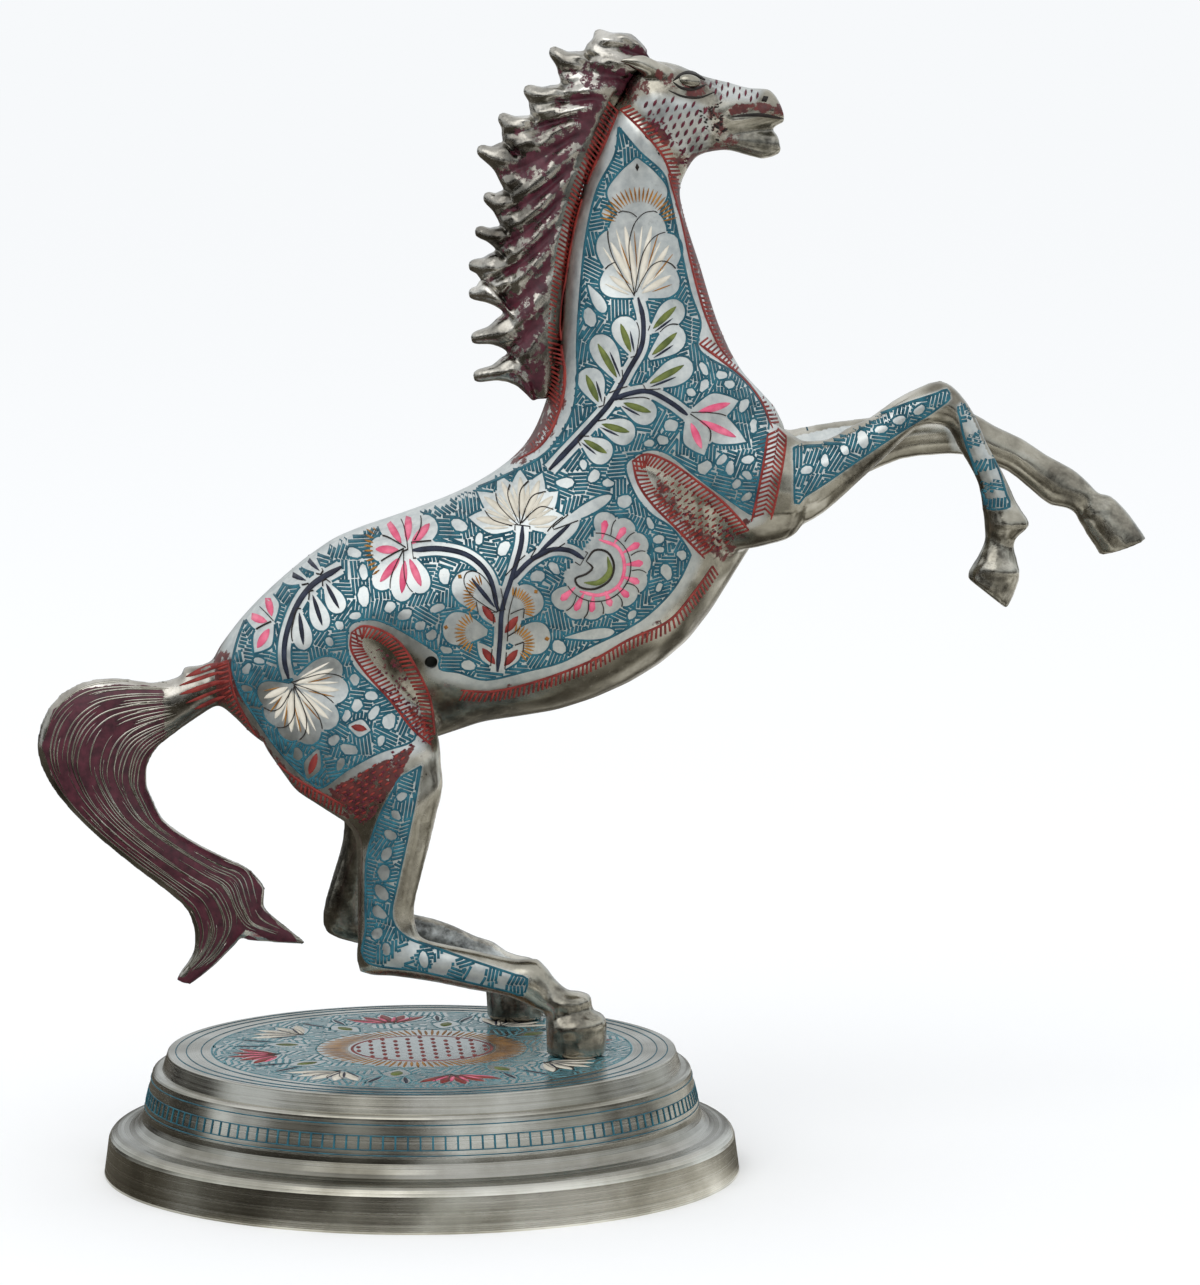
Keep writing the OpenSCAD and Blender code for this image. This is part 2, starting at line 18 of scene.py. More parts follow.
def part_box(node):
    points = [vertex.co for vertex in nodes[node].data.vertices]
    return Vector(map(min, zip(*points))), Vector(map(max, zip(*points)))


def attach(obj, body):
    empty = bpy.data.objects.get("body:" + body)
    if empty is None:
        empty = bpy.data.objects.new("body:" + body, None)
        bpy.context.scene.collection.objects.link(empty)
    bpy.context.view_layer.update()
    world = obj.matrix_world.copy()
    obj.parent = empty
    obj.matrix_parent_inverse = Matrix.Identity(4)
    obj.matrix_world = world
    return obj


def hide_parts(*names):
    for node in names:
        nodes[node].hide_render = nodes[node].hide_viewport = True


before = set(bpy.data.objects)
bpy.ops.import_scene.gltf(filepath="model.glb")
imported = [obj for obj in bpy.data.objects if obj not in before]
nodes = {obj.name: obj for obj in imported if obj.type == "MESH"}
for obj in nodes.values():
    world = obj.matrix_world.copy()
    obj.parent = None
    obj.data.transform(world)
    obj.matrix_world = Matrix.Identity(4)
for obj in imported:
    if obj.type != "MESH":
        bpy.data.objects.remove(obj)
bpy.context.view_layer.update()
MM = 0.001
print("solids:", sorted(nodes))

# %% [markdown]
# Every shape in this file is drawn in millimetres: x forwards and z up from the top of the
# plinth, as on a side view of the horse. Two values turn that drawing into places in the frame:
# the height of the plinth's top, and the middle plane where the two halves of the body meet.

# %% Where the figure stands
PLINTH_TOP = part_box("plinth")[1].z / MM
FIGURE_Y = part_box("body_right_half")[1].y / MM
SIDES = {"right": -1, "left": 1}


def place(x, y, z):
    return Vector((x, y + FIGURE_Y, z + PLINTH_TOP)) * MM


print("plinth top", round(PLINTH_TOP, 2), "mm, middle plane at", round(FIGURE_Y, 2), "mm")


# %% [markdown]
# An operator acts on everything that is selected, so small helpers keep the selection clean. They
# select pieces and make the first one active, put data into the scene as a piece, apply a
# modifier, run steps in Edit Mode, and copy solids of the frame into a new object with their
# doubled corners merged.

# %% Helpers for operators
MERGE = 1e-6


def only(*pieces):
    bpy.ops.object.select_all(action="DESELECT")
    for piece in pieces:
        piece.select_set(True)
    bpy.context.view_layer.objects.active = pieces[0]


def linked(name, data):
    piece = bpy.data.objects.new(name, data)
    bpy.context.scene.collection.objects.link(piece)
    return piece


def modified(piece, kind, **settings):
    only(piece)
    modifier = piece.modifiers.new(kind.lower(), kind)
    for name, value in settings.items():
        setattr(modifier, name, value)
    bpy.ops.object.modifier_apply(modifier=modifier.name)
    return piece


def in_edit_mode(piece, *steps):
    only(piece)
    bpy.ops.object.mode_set(mode="EDIT")
    bpy.ops.mesh.select_mode(type="VERT")
    bpy.ops.mesh.select_all(action="SELECT")
    for operator, settings in steps:
        operator(**settings)
    bpy.ops.object.mode_set(mode="OBJECT")


def copies(names, title):
    made = [linked(title, nodes[name].data.copy()) for name in names]
    only(*made)
    if len(made) > 1:
        bpy.ops.object.join()
    made[0].name = title
    in_edit_mode(made[0], (bpy.ops.mesh.remove_doubles, {"threshold": MERGE}))
    made[0].data.materials.clear()
    return made[0]


print("helpers ready")

# %% [markdown]
# Filing and polishing run every brass casting into its neighbour. A voxel remesh of all the brass
# pieces together does the same: it wraps one even skin of small squares round them. The core
# vent in the flank would let that skin run inside the hollow body, so a plug closes it first,
# and the vent is cut again later.

# %% One skin round the brass castings
BRASS = [
    "body_right_half", "body_left_half", "head", "tail",
    "foreleg_right", "foreleg_left", "hind_leg_right", "hind_leg_left",
]
VOXEL = 0.62
VENT = (2, 93)
VENT_D = 3
VENT_OUT = 25.5
PLUG_L = 8
ACROSS = (math.pi / 2, 0, 0)

figure = copies(BRASS, "figure")
bpy.ops.mesh.primitive_cylinder_add(
    vertices=16, radius=VENT_D * MM, depth=PLUG_L * MM, rotation=ACROSS,
    location=place(VENT[0], PLUG_L / 2 - VENT_OUT, VENT[1]),
)
only(figure, bpy.context.object)
bpy.ops.object.join()
modified(figure, "REMESH", mode="VOXEL", voxel_size=VOXEL * MM, use_smooth_shade=True)
print("skin of", len(figure.data.polygons), "faces")


# %% [markdown]
# The teardrops on the flank and behind the elbow lie in hollows of the casting. A press moves the
# skin towards the middle plane along a path, most on the path itself and less with distance,
# which a sculpting brush would do by hand. A pinch moves it along its own normals instead: it
# draws in the pasterns and stands out the rims of the hooves.

# %% Tools to press and pinch
SIDE_FADE = 6


def coordinates(piece):
    places = np.empty(len(piece.data.vertices) * 3)
    piece.data.vertices.foreach_get("co", places)
    return places.reshape(-1, 3)


def normals(piece):
    return np.array([corner.vector for corner in piece.data.vertex_normals])


def to_flat(places):
    return places[:, [0, 2]] / MM - np.array([0, PLINTH_TOP])


def put_back(piece, places):
    piece.data.vertices.foreach_set("co", places.ravel())
    piece.data.update()


def distance_to_path(flat, path):
    nearest = np.full(len(flat), np.inf)
    for start, end in zip(path[:-1], path[1:]):
        start, end = np.array(start, float), np.array(end, float)
        along = end - start
        share = np.clip((flat - start) @ along / (along @ along), 0, 1)
        away = np.linalg.norm(flat - start - share[:, None] * along, axis=1)
        nearest = np.minimum(nearest, away)
    return nearest


def brush(flat, path, radius):
    return np.clip(1 - (distance_to_path(flat, path) / radius) ** 2, 0, 1) ** 2


def press(piece, path, radius, depth):
    places = coordinates(piece)
    share = brush(to_flat(places), path, radius)
    side = np.clip((places[:, 1] / MM - FIGURE_Y) / SIDE_FADE, -1, 1)
    places[:, 1] -= side * share * depth * MM
    put_back(piece, places)


def pinch(piece, path, radius, depth):
    places = coordinates(piece)
    share = brush(to_flat(places), path, radius)
    put_back(piece, places - normals(piece) * (share * depth)[:, None] * MM)


print("press and pinch ready")

# %% [markdown]
# The hollows are the brow, the eye sockets, the nostrils, the mouth and the drops. A depth below
# nothing raises the skin. The pasterns list the creases and rims of the right hind hoof and of both
# front ones.

# %% Press the hollows
HOLLOWS = [
    ([(60, 228.6), (66, 228)], 4.5, -1.0),
    ([(61.5, 227.2), (65, 227.2)], 2.2, 1.2),
    ([(80.6, 222.8), (82.6, 223.2)], 2.2, 1.3),
    ([(74, 219.5), (80, 220.5)], 2.2, 0.7),
    ([(-10, 96), (-4, 88), (1, 79)], 9, 2.6),
    ([(54, 136), (62, 127), (69, 119)], 9, 2.4),
    ([(66, 160), (62, 172)], 6, 0.8),
    ([(60, 213), (66, 217)], 4, 0.6),
]
PASTERNS = [
    ([(32.5, 10.6), (38, 11.4), (42, 11.6)], 2.6, 1.3),
    ([(31, 6.8), (35, 7.2), (41, 8.3)], 2.4, -0.7),
    ([(36, 14.5), (39, 14.8)], 2.6, -0.3),
    ([(134.5, 119.5), (141, 119.5)], 4, 0.55),
    ([(132, 113.6), (134.5, 113), (139, 112.5)], 2.4, -0.75),
    ([(136, 124), (142, 124)], 2.6, -0.45),
    ([(156, 124.8), (160, 125.5), (163.5, 126.6)], 4.5, 0.5),
    ([(161, 122), (164, 124.5), (166.5, 126.5)], 2.6, -0.5),
]
for path, radius, depth in HOLLOWS:
    press(figure, path, radius, depth)
print("pressed", len(HOLLOWS), "hollows on each side")
for path, radius, depth in PASTERNS:
    pinch(figure, path, radius, depth)
print("pinched", len(PASTERNS), "places round the hooves")

# %% [markdown]
# A light smoothing takes the voxel steps off all over. The trunk then gets much more, held to
# it by a vertex group, so that the haunches and shoulders swell out of it with no edge while the
# thin legs and the head keep their shape.

# %% Smooth the skin
TRUNK_BOX = ((-54, 56), (84, 214))
FADE = 9
LIGHT = {"factor": 0.5, "iterations": 10}
STRONG = {"factor": 0.5, "iterations": 90}


def box_share(flat, low, high, fade):
    margin = np.minimum(flat - np.array(low), np.array(high) - flat).min(axis=1)
    return np.clip(margin / fade, 0, 1)


modified(figure, "SMOOTH", **LIGHT)
flat = to_flat(coordinates(figure))
trunk = figure.vertex_groups.new(name="trunk")
shares = np.round(box_share(flat, *TRUNK_BOX, FADE), 1)
for share in np.unique(shares[shares > 0]):
    trunk.add(np.flatnonzero(shares == share).tolist(), float(share), "REPLACE")
modified(figure, "SMOOTH", **STRONG, vertex_group="trunk")
figure.vertex_groups.clear()
print("smoothed; skin box", [round(v / MM, 1) for v in figure.dimensions])

# %% [markdown]
# The skin is now shared out again, so that each casting is a piece of its own. Each face goes to
# the solid that it lies nearest to, and the two halves of the body meet on the middle plane. A
# few rounds of voting among neighbours then straighten the joints. A copy of the whole skin is
# kept to lay the engraving on.

# %% Share the skin out to the castings
NEAR = 1.5 * MM
VOTES = 8
HALVES = 2
depsgraph = bpy.context.evaluated_depsgraph_get()
trees = {name: BVHTree.FromObject(nodes[name], depsgraph) for name in BRASS}
boxes = {name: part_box(name) for name in BRASS}


def owner(centre):
    found = []
    for number, name in enumerate(BRASS):
        low, high = boxes[name]
        if all(low[k] - NEAR <= centre[k] <= high[k] + NEAR for k in range(3)):
            found.append((trees[name].find_nearest(centre)[3], number))
    number = min(found)[1]
    if number < HALVES:
        number = 0 if centre.y < FIGURE_Y * MM else 1
    return number


def voted(corners, owners, vertex_count):
    counts = np.zeros((vertex_count, len(BRASS)))
    for k in range(corners.shape[1]):
        np.add.at(counts, (corners[:, k], owners), 1)
    return counts[corners].sum(axis=1).argmax(axis=1)


pattern_form = linked("pattern_form", figure.data.copy())
corners = np.array([face.vertices[:] for face in figure.data.polygons])
owners = np.array([owner(face.center) for face in figure.data.polygons])
for _ in range(VOTES):
    owners = voted(corners, owners, len(figure.data.vertices))
print("faces to each casting:", np.bincount(owners).tolist())

# %% [markdown]
# The faces carry their owner as a material number, so the mesh can be separated by material. Each
# piece's open end is then filled where it is brazed on, and its normals are turned outwards.

# %% Split the skin
def signed_volume(piece):
    return sum(face.area * face.normal.dot(face.center) for face in piece.data.polygons) / 3


for name in BRASS:
    figure.data.materials.append(bpy.data.materials.new("share_" + name))
figure.data.polygons.foreach_set("material_index", owners.astype(np.int32))
in_edit_mode(figure, (bpy.ops.mesh.separate, {"type": "MATERIAL"}))
skins = {}
for piece in list(bpy.context.selected_objects):
    name = piece.data.materials[0].name.removeprefix("share_")
    piece.name = name + "_skin"
    piece.data.materials.clear()
    in_edit_mode(
        piece,
        (bpy.ops.mesh.fill_holes, {"sides": 0}),
        (bpy.ops.mesh.normals_make_consistent, {"inside": False}),
    )
    if signed_volume(piece) < 0:
        in_edit_mode(piece, (bpy.ops.mesh.flip_normals, {}))
    skins[name] = piece
    print(piece.name, len(piece.data.polygons), "faces")

# %% [markdown]
# The vent is drilled again where the plug closed it. Each piece then takes its surface normals from
# the whole skin, so light runs over the joints without a break.

# %% Drill the vent and hide the joints
BESIDE = 60


def on_skin(x, z, hand):
    return skin_tree.ray_cast(place(x, hand * BESIDE, z), Vector((0, -hand, 0)))[0]


skin_tree = BVHTree.FromObject(pattern_form, bpy.context.evaluated_depsgraph_get())
bpy.ops.mesh.primitive_cylinder_add(
    vertices=24, radius=VENT_D / 2 * MM, depth=PLUG_L * MM, rotation=ACROSS,
    location=on_skin(*VENT, -1),
)
drill = bpy.context.object
modified(skins["body_right_half"], "BOOLEAN", object=drill, operation="DIFFERENCE", solver="EXACT")
bpy.data.objects.remove(drill)
for piece in skins.values():
    modified(piece, "DATA_TRANSFER", object=pattern_form, use_loop_data=True,
             data_types_loops={"CUSTOM_NORMAL"}, loop_mapping="NEAREST_NORMAL")
print("drilled the vent;", len(skins), "pieces smoothed over")

# %% [markdown]
# Every finish is a small node tree. One function turns a colour written as on a paint chart into
# the linear values that Blender mixes, and one adds a node with its settings and its links. A
# link comes from a socket, or from a node, which then gives its first open output. A third makes
# the material and asks a recipe for its shader. Patterns are sized in millimetres, and sit on
# each piece's own coordinates.

# %% Helpers for finishes
BLEND = {"data_type": "RGBA"}
DARKEN = {"data_type": "RGBA", "blend_type": "MULTIPLY", 0: 1}


def colour(chart):
    values = [int(chart[k:k + 2], 16) / 255 for k in (1, 3, 5)]
    linear = [v / 12.92 if v <= 0.04045 else ((v + 0.055) / 1.055) ** 2.4 for v in values]
    return (*linear, 1)


def add(tree, kind, settings=None, links=None):
    node = tree.nodes.new("ShaderNode" + kind)
    for name, value in (settings or {}).items():
        if name == "stops":
            steps = node.color_ramp.elements
            while len(steps) < len(value):
                steps.new(0.5)
            for step, (at, tone) in zip(steps, value):
                step.position = at
                step.color = colour(tone) if isinstance(tone, str) else (tone, tone, tone, 1)
        elif isinstance(name, int) or name in node.inputs:
            node.inputs[name].default_value = value
        else:
            setattr(node, name, value)
    for name, source in (links or {}).items():
        if isinstance(source, bpy.types.Node):
            source = next(socket for socket in source.outputs if socket.enabled)
        tree.links.new(source, node.inputs[name])
    return node


def finish(name, recipe, *details):
    material = bpy.data.materials.new(name)
    material.use_nodes = True
    tree = material.node_tree
    tree.nodes.clear()
    places = add(tree, "TexCoord").outputs["Object"]
    add(tree, "OutputMaterial", {}, {"Surface": recipe(tree, places, *details)})
    return material


def per_mm(size):
    return 1 / (size * MM)


print("finishes can be mixed")

# %% [markdown]
# Old brass in daylight is nearly as pale as silver where hands keep it bright and goes grey-brown
# where they don't reach. Under the engraving the face was scraped level after the lac was melted
# in, so it is paler and duller there. Lac that was left outside the cuts still clings in
# patches, and where nobody polishes, as on the hooves, the metal is dark and pitted. Painted shade
# is laid on the same way where parts lie under or between others. Three numbers stored on the
# corners of the mesh say where: how far it was scraped, how much lac clings, and how dark tarnish
# and painted shade make it.

# %% Brass and the lac that clings to it
PATINA = 14
GRAIN = 2.2
SCUFF = 3
PITS = 0.4


def lacquered_brass(tree, places, metals, stains, dents):
    patina, grain, scuff = [
        add(tree, "TexNoise", {"Scale": per_mm(size), "Detail": detail, "Roughness": rough},
            {"Vector": places})
        for size, detail, rough in ((PATINA, 6, 0.6), (GRAIN, 6, 0.6), (SCUFF, 8, 0.7))
    ]
    scraped, tarnish, left = [
        add(tree, "Attribute", {"attribute_name": label}).outputs["Fac"]
        for label in ("scraped", "tarnish", "lac")
    ]
    # Grey-brown clouds over pale metal, paler still where it was scraped.
    tint = add(tree, "ValToRGB", {"stops": [*zip((0.3, 0.5, 0.72), metals)]}, {"Fac": patina})
    pale = add(tree, "ValToRGB", {"stops": [(0.3, "#BEC4C4"), (0.7, "#E0E3E0")]}, {"Fac": grain})
    tint = add(tree, "Mix", BLEND, {0: scraped, 6: tint, 7: pale})
    # Grime and painted shade darken the creases, and tarnish and painted shade add dark spots.
    bend = add(tree, "NewGeometry").outputs["Pointiness"]
    crease_grime_and_shade = add(tree, "ValToRGB", {"stops": [(0.44, 0.12), (0.495, 1.0)]}, {"Fac": bend})
    tint = add(tree, "Mix", DARKEN, {6: tint, 7: crease_grime_and_shade})
    edge = add(tree, "Math", {"operation": "MULTIPLY_ADD", 1: 1.6, 2: -0.8}, {0: scuff})
    ragged_tarnish_and_shade = add(tree, "Math", {"operation": "ADD"}, {0: tarnish, 1: edge})
    dark = add(tree, "ValToRGB", {"stops": [(0.2, 1.0), (0.75, 0.18)]}, {"Fac": ragged_tarnish_and_shade})
    tint = add(tree, "Mix", DARKEN, {6: tint, 7: dark})
    # A shine that the grain breaks up, duller where it was scraped, with file marks and pits.
    gloss = add(tree, "ValToRGB", {"stops": [(0.3, 0.14), (0.75, 0.3)]}, {"Fac": grain})
    gloss = add(tree, "Math", {"operation": "MULTIPLY_ADD", 1: 0.24}, {0: scraped, 2: gloss})
    depth = add(tree, "Math", {"operation": "MULTIPLY_ADD", 1: PITS * MM, 2: dents * MM},
                {0: tarnish})
    filed = add(tree, "Bump", {"Strength": 0.5}, {"Height": grain, "Distance": depth})
    metal = add(tree, "BsdfPrincipled", {"Metallic": 1},
                {"Base Color": tint, "Roughness": gloss, "Normal": filed})
    # Patches of lac with ragged edges over it.
    level = add(tree, "Math", {"operation": "ADD"}, {0: left, 1: edge})
    cover = add(tree, "ValToRGB", {"stops": [(0.46, 0.0), (0.54, 1.0)]}, {"Fac": level})
    stain = add(tree, "ValToRGB", {"stops": [*zip((0.3, 0.7), stains)]}, {"Fac": grain})
    paint = add(tree, "BsdfPrincipled", {"Roughness": 0.45}, {"Base Color": stain, "Normal": filed})
    return add(tree, "MixShader", {}, {0: cover, 1: metal, 2: paint})


# The horse: pale handled metal with soft clouds and rests of red-brown lac.
brass = finish("polished_cast_brass", lacquered_brass, ("#6B665C", "#A8A497", "#DAD7CD"),
               ("#3A1414", "#6A2822"), 0.05)
# The mane and tail: deep wine-red lac, chipped to rough metal on every high edge.
maroon = finish("worn_maroon_lac", lacquered_brass, ("#5A564F", "#AFABA2", "#E4E1DA"),
                ("#35101C", "#5C2030"), 0.2)
print("made", brass.name, "and", maroon.name)


# %% [markdown]
# The plinth came off a lathe, so its marks run round it: rings on the flat top and level lines on
# the side. Noise laid on the distance from the axis and the height gives both at once. The foot
# is rubbed bright, and painted shade darkens the slope above it and the band under the rim. The
# engraved field on the top was scraped level, so it is even and grey.

# %% Turned brass
LATHE_MARKS = 0.7
LATHE_DEPTH = 0.05
PLINTH_PATINA = 27
SCRAPED_R = 50
TOP_SKIN = 0.2


def turned_brass(tree, places):
    x, y, z = add(tree, "SeparateXYZ", {}, {"Vector": places}).outputs
    level = add(tree, "CombineXYZ", {}, {"X": x, "Y": y})
    reach = add(tree, "VectorMath", {"operation": "LENGTH"}, {"Vector": level})
    section = add(tree, "CombineXYZ", {}, {"X": reach, "Z": z})
    lines = add(tree, "TexNoise", {"Scale": per_mm(LATHE_MARKS), "Detail": 5, "Roughness": 0.7},
                {"Vector": section})
    patina = add(tree, "TexNoise", {"Scale": per_mm(PLINTH_PATINA), "Detail": 6},
                 {"Vector": places})
    mixed = add(tree, "Math", {"operation": "MULTIPLY_ADD", 1: 0.45}, {0: lines, 2: patina})
    tint = add(tree, "ValToRGB",
               {"stops": [(0.52, "#858174"), (0.7, "#BDBAAD"), (0.86, "#E8E6DC")]}, {"Fac": mixed})
    height = add(tree, "Math", {"operation": "DIVIDE", 1: PLINTH_TOP * MM}, {0: z})
    # Painted shade: darker on the slope above the foot and under the top rim.
    cove_and_rim_shade = add(tree, "ValToRGB",
               {"stops": [(0.3, 1.0), (0.37, 0.5), (0.5, 0.55), (0.57, 0.95), (0.78, 0.95),
                          (0.85, 0.65)]}, {"Fac": height})
    tint = add(tree, "Mix", DARKEN, {6: tint, 7: cove_and_rim_shade})
    within = add(tree, "Math", {"operation": "LESS_THAN", 1: SCRAPED_R * MM}, {0: reach})
    above = add(tree, "Math", {"operation": "GREATER_THAN", 1: (PLINTH_TOP - TOP_SKIN) * MM},
                {0: z})
    scraped = add(tree, "Math", {"operation": "MULTIPLY"}, {0: within, 1: above})
    tint = add(tree, "Mix", {**BLEND, 7: colour("#A8ADAB")}, {0: scraped, 6: tint})
    gloss = add(tree, "ValToRGB", {"stops": [(0.3, 0.16), (0.75, 0.34)]}, {"Fac": lines})
    turned = add(tree, "Bump", {"Strength": 0.5, "Distance": LATHE_DEPTH * MM}, {"Height": lines})
    return add(tree, "BsdfPrincipled", {"Metallic": 1},
               {"Base Color": tint, "Roughness": gloss, "Normal": turned})


# The plinth: silvery metal with fine rings that stretch every reflection sideways.
lathe_brass = finish("lathe_turned_brass", turned_brass)
print("made", lathe_brass.name)


# %% [markdown]
# The colours are sticks of lac melted into the cuts and scraped level. Each is a plain, slightly
# cloudy colour with a dull shine.

# %% Lac colours
LAC = {
    "teal": ("#164857", "#2C6B7A"),
    "aqua": ("#3A717C", "#62979F"),
    "red": ("#6C211F", "#96382F"),
    "pink": ("#D34F73", "#EC7F98"),
    "cream": ("#CFC8B8", "#E2DCCD"),
    "gold": ("#7A4E16", "#B27C2E"),
    "dark": ("#171B2A", "#2C3448"),
    "olive": ("#4E5A2B", "#76803F"),
    "maroon": ("#4A1624", "#6B2636"),
    "soot": ("#1A1614", "#2F2824"),
}
CLOUD = 3


def lac(tree, places, deep, light):
    cloud = add(tree, "TexNoise", {"Scale": per_mm(CLOUD), "Detail": 4}, {"Vector": places})
    tint = add(tree, "ValToRGB", {"stops": [(0.35, deep), (0.7, light)]}, {"Fac": cloud})
    return add(tree, "BsdfPrincipled", {"Roughness": 0.5, "Specular IOR Level": 0.25},
               {"Base Color": tint})


# The fills: flat, waxy colour that stays matt beside the bright metal.
lacs = {name: finish("lac_" + name, lac, *tones) for name, tones in LAC.items()}
print("made", len(lacs), "lac colours")


# %% [markdown]
# The screws and washers under the plinth are plain bright steel, with the faint grain of rolled
# wire and pressed sheet.

# %% Steel
ROLLED = 0.8


def steel(tree, places):
    grain = add(tree, "TexNoise", {"Scale": per_mm(ROLLED), "Detail": 4}, {"Vector": places})
    gloss = add(tree, "ValToRGB", {"stops": [(0.3, 0.25), (0.7, 0.45)]}, {"Fac": grain})
    return add(tree, "BsdfPrincipled", {"Metallic": 1, "Base Color": colour("#A9AAA8")},
               {"Roughness": gloss})


# The fasteners: cool grey metal with a broken, satin shine.
plain_steel = finish("bright_steel", steel)
print("made", plain_steel.name)

# %% [markdown]
# The ornament is drawn flat first, as on the engraver's tracing. Every coloured mark is a cut that
# follows a path and swells or tapers. Petals, leaves and stems are shapes of bare metal with such
# marks inside. The list called shapes keeps their outlines, so that the ground can go round
# them.

# %% Draw with a graver
random.seed(7)
FINE = 0.45
VEIN = 0.2
TAPERS = {
    "line": lambda t: min(1, 0.4 + 8 * t, 8.4 - 8 * t),
    "leaf": lambda t: max(0.1, math.sin(math.pi * t) ** 0.6),
    "drop": lambda t: max(0.15, min(t ** 0.7, 5 - 4.7 * t)),
    "even": lambda t: 1,
}
ROUND = ((0, 0.2), (0.25, 0.62), (0.55, 1), (0.8, 0.95), (0.95, 0.55), (1, 0.05))
POINTED = ((0, 0.2), (0.3, 0.75), (0.55, 1), (0.8, 0.6), (1, 0.05))
BAND = 1.7
FRINGE_W = 0.42
STEM_W = 1.1
cuts = []
shapes = []


def heading(degrees):
    turn = math.radians(degrees)
    return Vector((math.cos(turn), math.sin(turn)))


def flowing(points, step=1.0):
    path = [Vector(point) for point in points]
    path = [2 * path[0] - path[1], *path, 2 * path[-1] - path[-2]]
    made = []
    for before, start, end, after in zip(path, path[1:], path[2:], path[3:]):
        count = max(2, math.ceil((end - start).length / step))
        for k in range(count):
            t = k / count
            bend = (2 * before - 5 * start + 4 * end - after) * t ** 2
            bend += (3 * start - before - 3 * end + after) * t ** 3
            made.append(start + ((end - before) * t + bend) / 2)
    return [*made, path[-2]]


def cut(name, points, width, taper="line", step=1.0, sides="both"):
    path = flowing(points, step) if step else points
    shape = TAPERS[taper]
    last = len(path) - 1
    cuts.append((name, sides, [(*p, width / 2 * shape(k / last)) for k, p in enumerate(path)]))


def lobe(base, tip, width, form, *fills):
    base, along = Vector(base), Vector(tip) - Vector(base)
    across = along.orthogonal().normalized() * width / 2
    edges = [flowing([base + along * t + across * half * hand for t, half in form], 0.7)
             for hand in (1, -1)]
    shapes.append(edges[0] + edges[1][::-1])
    for name, start, end, offset, thick, taper in fills:
        path = [base + along * start + across * offset * 0.5, base + along * end + across * offset]
        cut(name, path, thick, taper)


def stem(points):
    cut("dark", points, STEM_W)
    path = flowing(points, 0.7)
    ways = [ahead - back for back, ahead in zip([path[0], *path[:-1]], [*path[1:], path[-1]])]
    out = [Vector((-way.y, way.x)).normalized() * BAND for way in ways]
    left = [p + o for p, o in zip(path, out)]
    right = [p - o for p, o in zip(path, out)]
    shapes.append(left + right[::-1])


def fringe(middle, radius, first, last, count, length):
    for turn in np.linspace(first, last, count):
        ends = [Vector(middle) + heading(turn) * reach for reach in (radius, radius + length)]
        cut("gold", ends, FRINGE_W, "leaf")


def edge(name, points, width, length, pitch, slant, hand):
    cut(name, points, width)
    path = flowing(points, pitch)
    for here, ahead in zip(path, path[1:]):
        along = (ahead - here).normalized()
        tip = here + Vector((-along.y, along.x)) * hand * length + along * slant
        cut(name, [here, tip], FINE, "even", 3)


print("graver ready, with", len(TAPERS), "kinds of cut")

# %% [markdown]
# The flowers on the trunk: white ones of bare metal with cream cuts, pink ones with a filled
# cut in each petal, and a pink half wheel round a seed. Their places are read off the right side,
# and the left side carries the same drawing.

# %% Flowers
CREAM = (("cream", 0.15, 0.84, 0, 1.7, "leaf"), ("cream", 0.25, 0.7, 0.62, 0.5, "leaf"),
         ("cream", 0.25, 0.7, -0.62, 0.5, "leaf"))
PALE = (("cream", 0.1, 0.82, 0, 1.5, "leaf"), ("cream", 0.2, 0.8, 0.5, 0.6, "leaf"),
        ("gold", 0.3, 0.75, -0.45, 0.3, "leaf"))
PINK = (("pink", 0.2, 0.82, 0, 1.7, "leaf"),)
SEED = (("pink", 0.1, 0.7, 0, 2, "drop"),)
RED = (("red", 0.15, 0.8, 0, 1.6, "leaf"),)
BUD = (("red", 0.2, 0.75, 0, 1.8, "leaf"),)
FLOWERS = [
    ((51, 177.5), 8.5, ROUND, PALE,
     [(43.5, 192.5), (43, 183), (47.5, 197), (55, 197), (60, 191.5), (60.5, 183)]),
    ((62, 150), 7, POINTED, PINK, [(74.5, 153), (76, 143.5), (66, 140.5)]),
    ((23.5, 124.5), 6, POINTED, CREAM,
     [(11, 126), (13.5, 131.5), (18.5, 135.5), (23.5, 137), (28.5, 136.5), (32, 132.5), (33, 127)]),
    ((-3.5, 118.5), 5.6, ROUND, PINK,
     [(3.5, 125.5), (-2, 128), (-8.5, 126), (-12, 118.5), (-11, 110), (-5, 107), (0.5, 109)]),
    ((-34.5, 101.5), 5, POINTED, PINK, [(-36, 108.5), (-41.5, 102.5), (-39, 94.5)]),
    ((-30.5, 87.5), 7, ROUND, PALE,
     [(-18.5, 92.5), (-17, 86.5), (-20, 78.5), (-25.5, 74), (-30.5, 74.5), (-35, 78), (-38, 83.5)]),
]
lobe((51.5, 192), (51, 209.5), 14.5, POINTED, ("soot", 0.82, 0.92, 0, 0.9, "leaf"))
for base, width, form, fills, tips in FLOWERS:
    for tip in tips:
        lobe(base, tip, width, form, *fills)
WHEEL = Vector((40.5, 115))
WHEEL_R = 8
for tip in [(43, 128), (48.5, 126), (52.5, 121.5), (53.5, 116), (52.5, 110.5), (49.5, 106.5),
            (44.5, 104), (39, 102.5), (34.5, 103), (30.5, 106)]:
    lobe(WHEEL + (Vector(tip) - WHEEL) * 0.45, tip, 5.6, ROUND, *SEED)
shapes.append([WHEEL + Vector((math.cos(a), math.sin(a))) * WHEEL_R
               for a in np.linspace(-2.9, 1.6, 30)])
cut("pink", [(41, 121.5), (45.5, 119.5), (47, 115), (45.5, 110.5), (41, 108.5), (36.5, 109.5)],
    0.8)
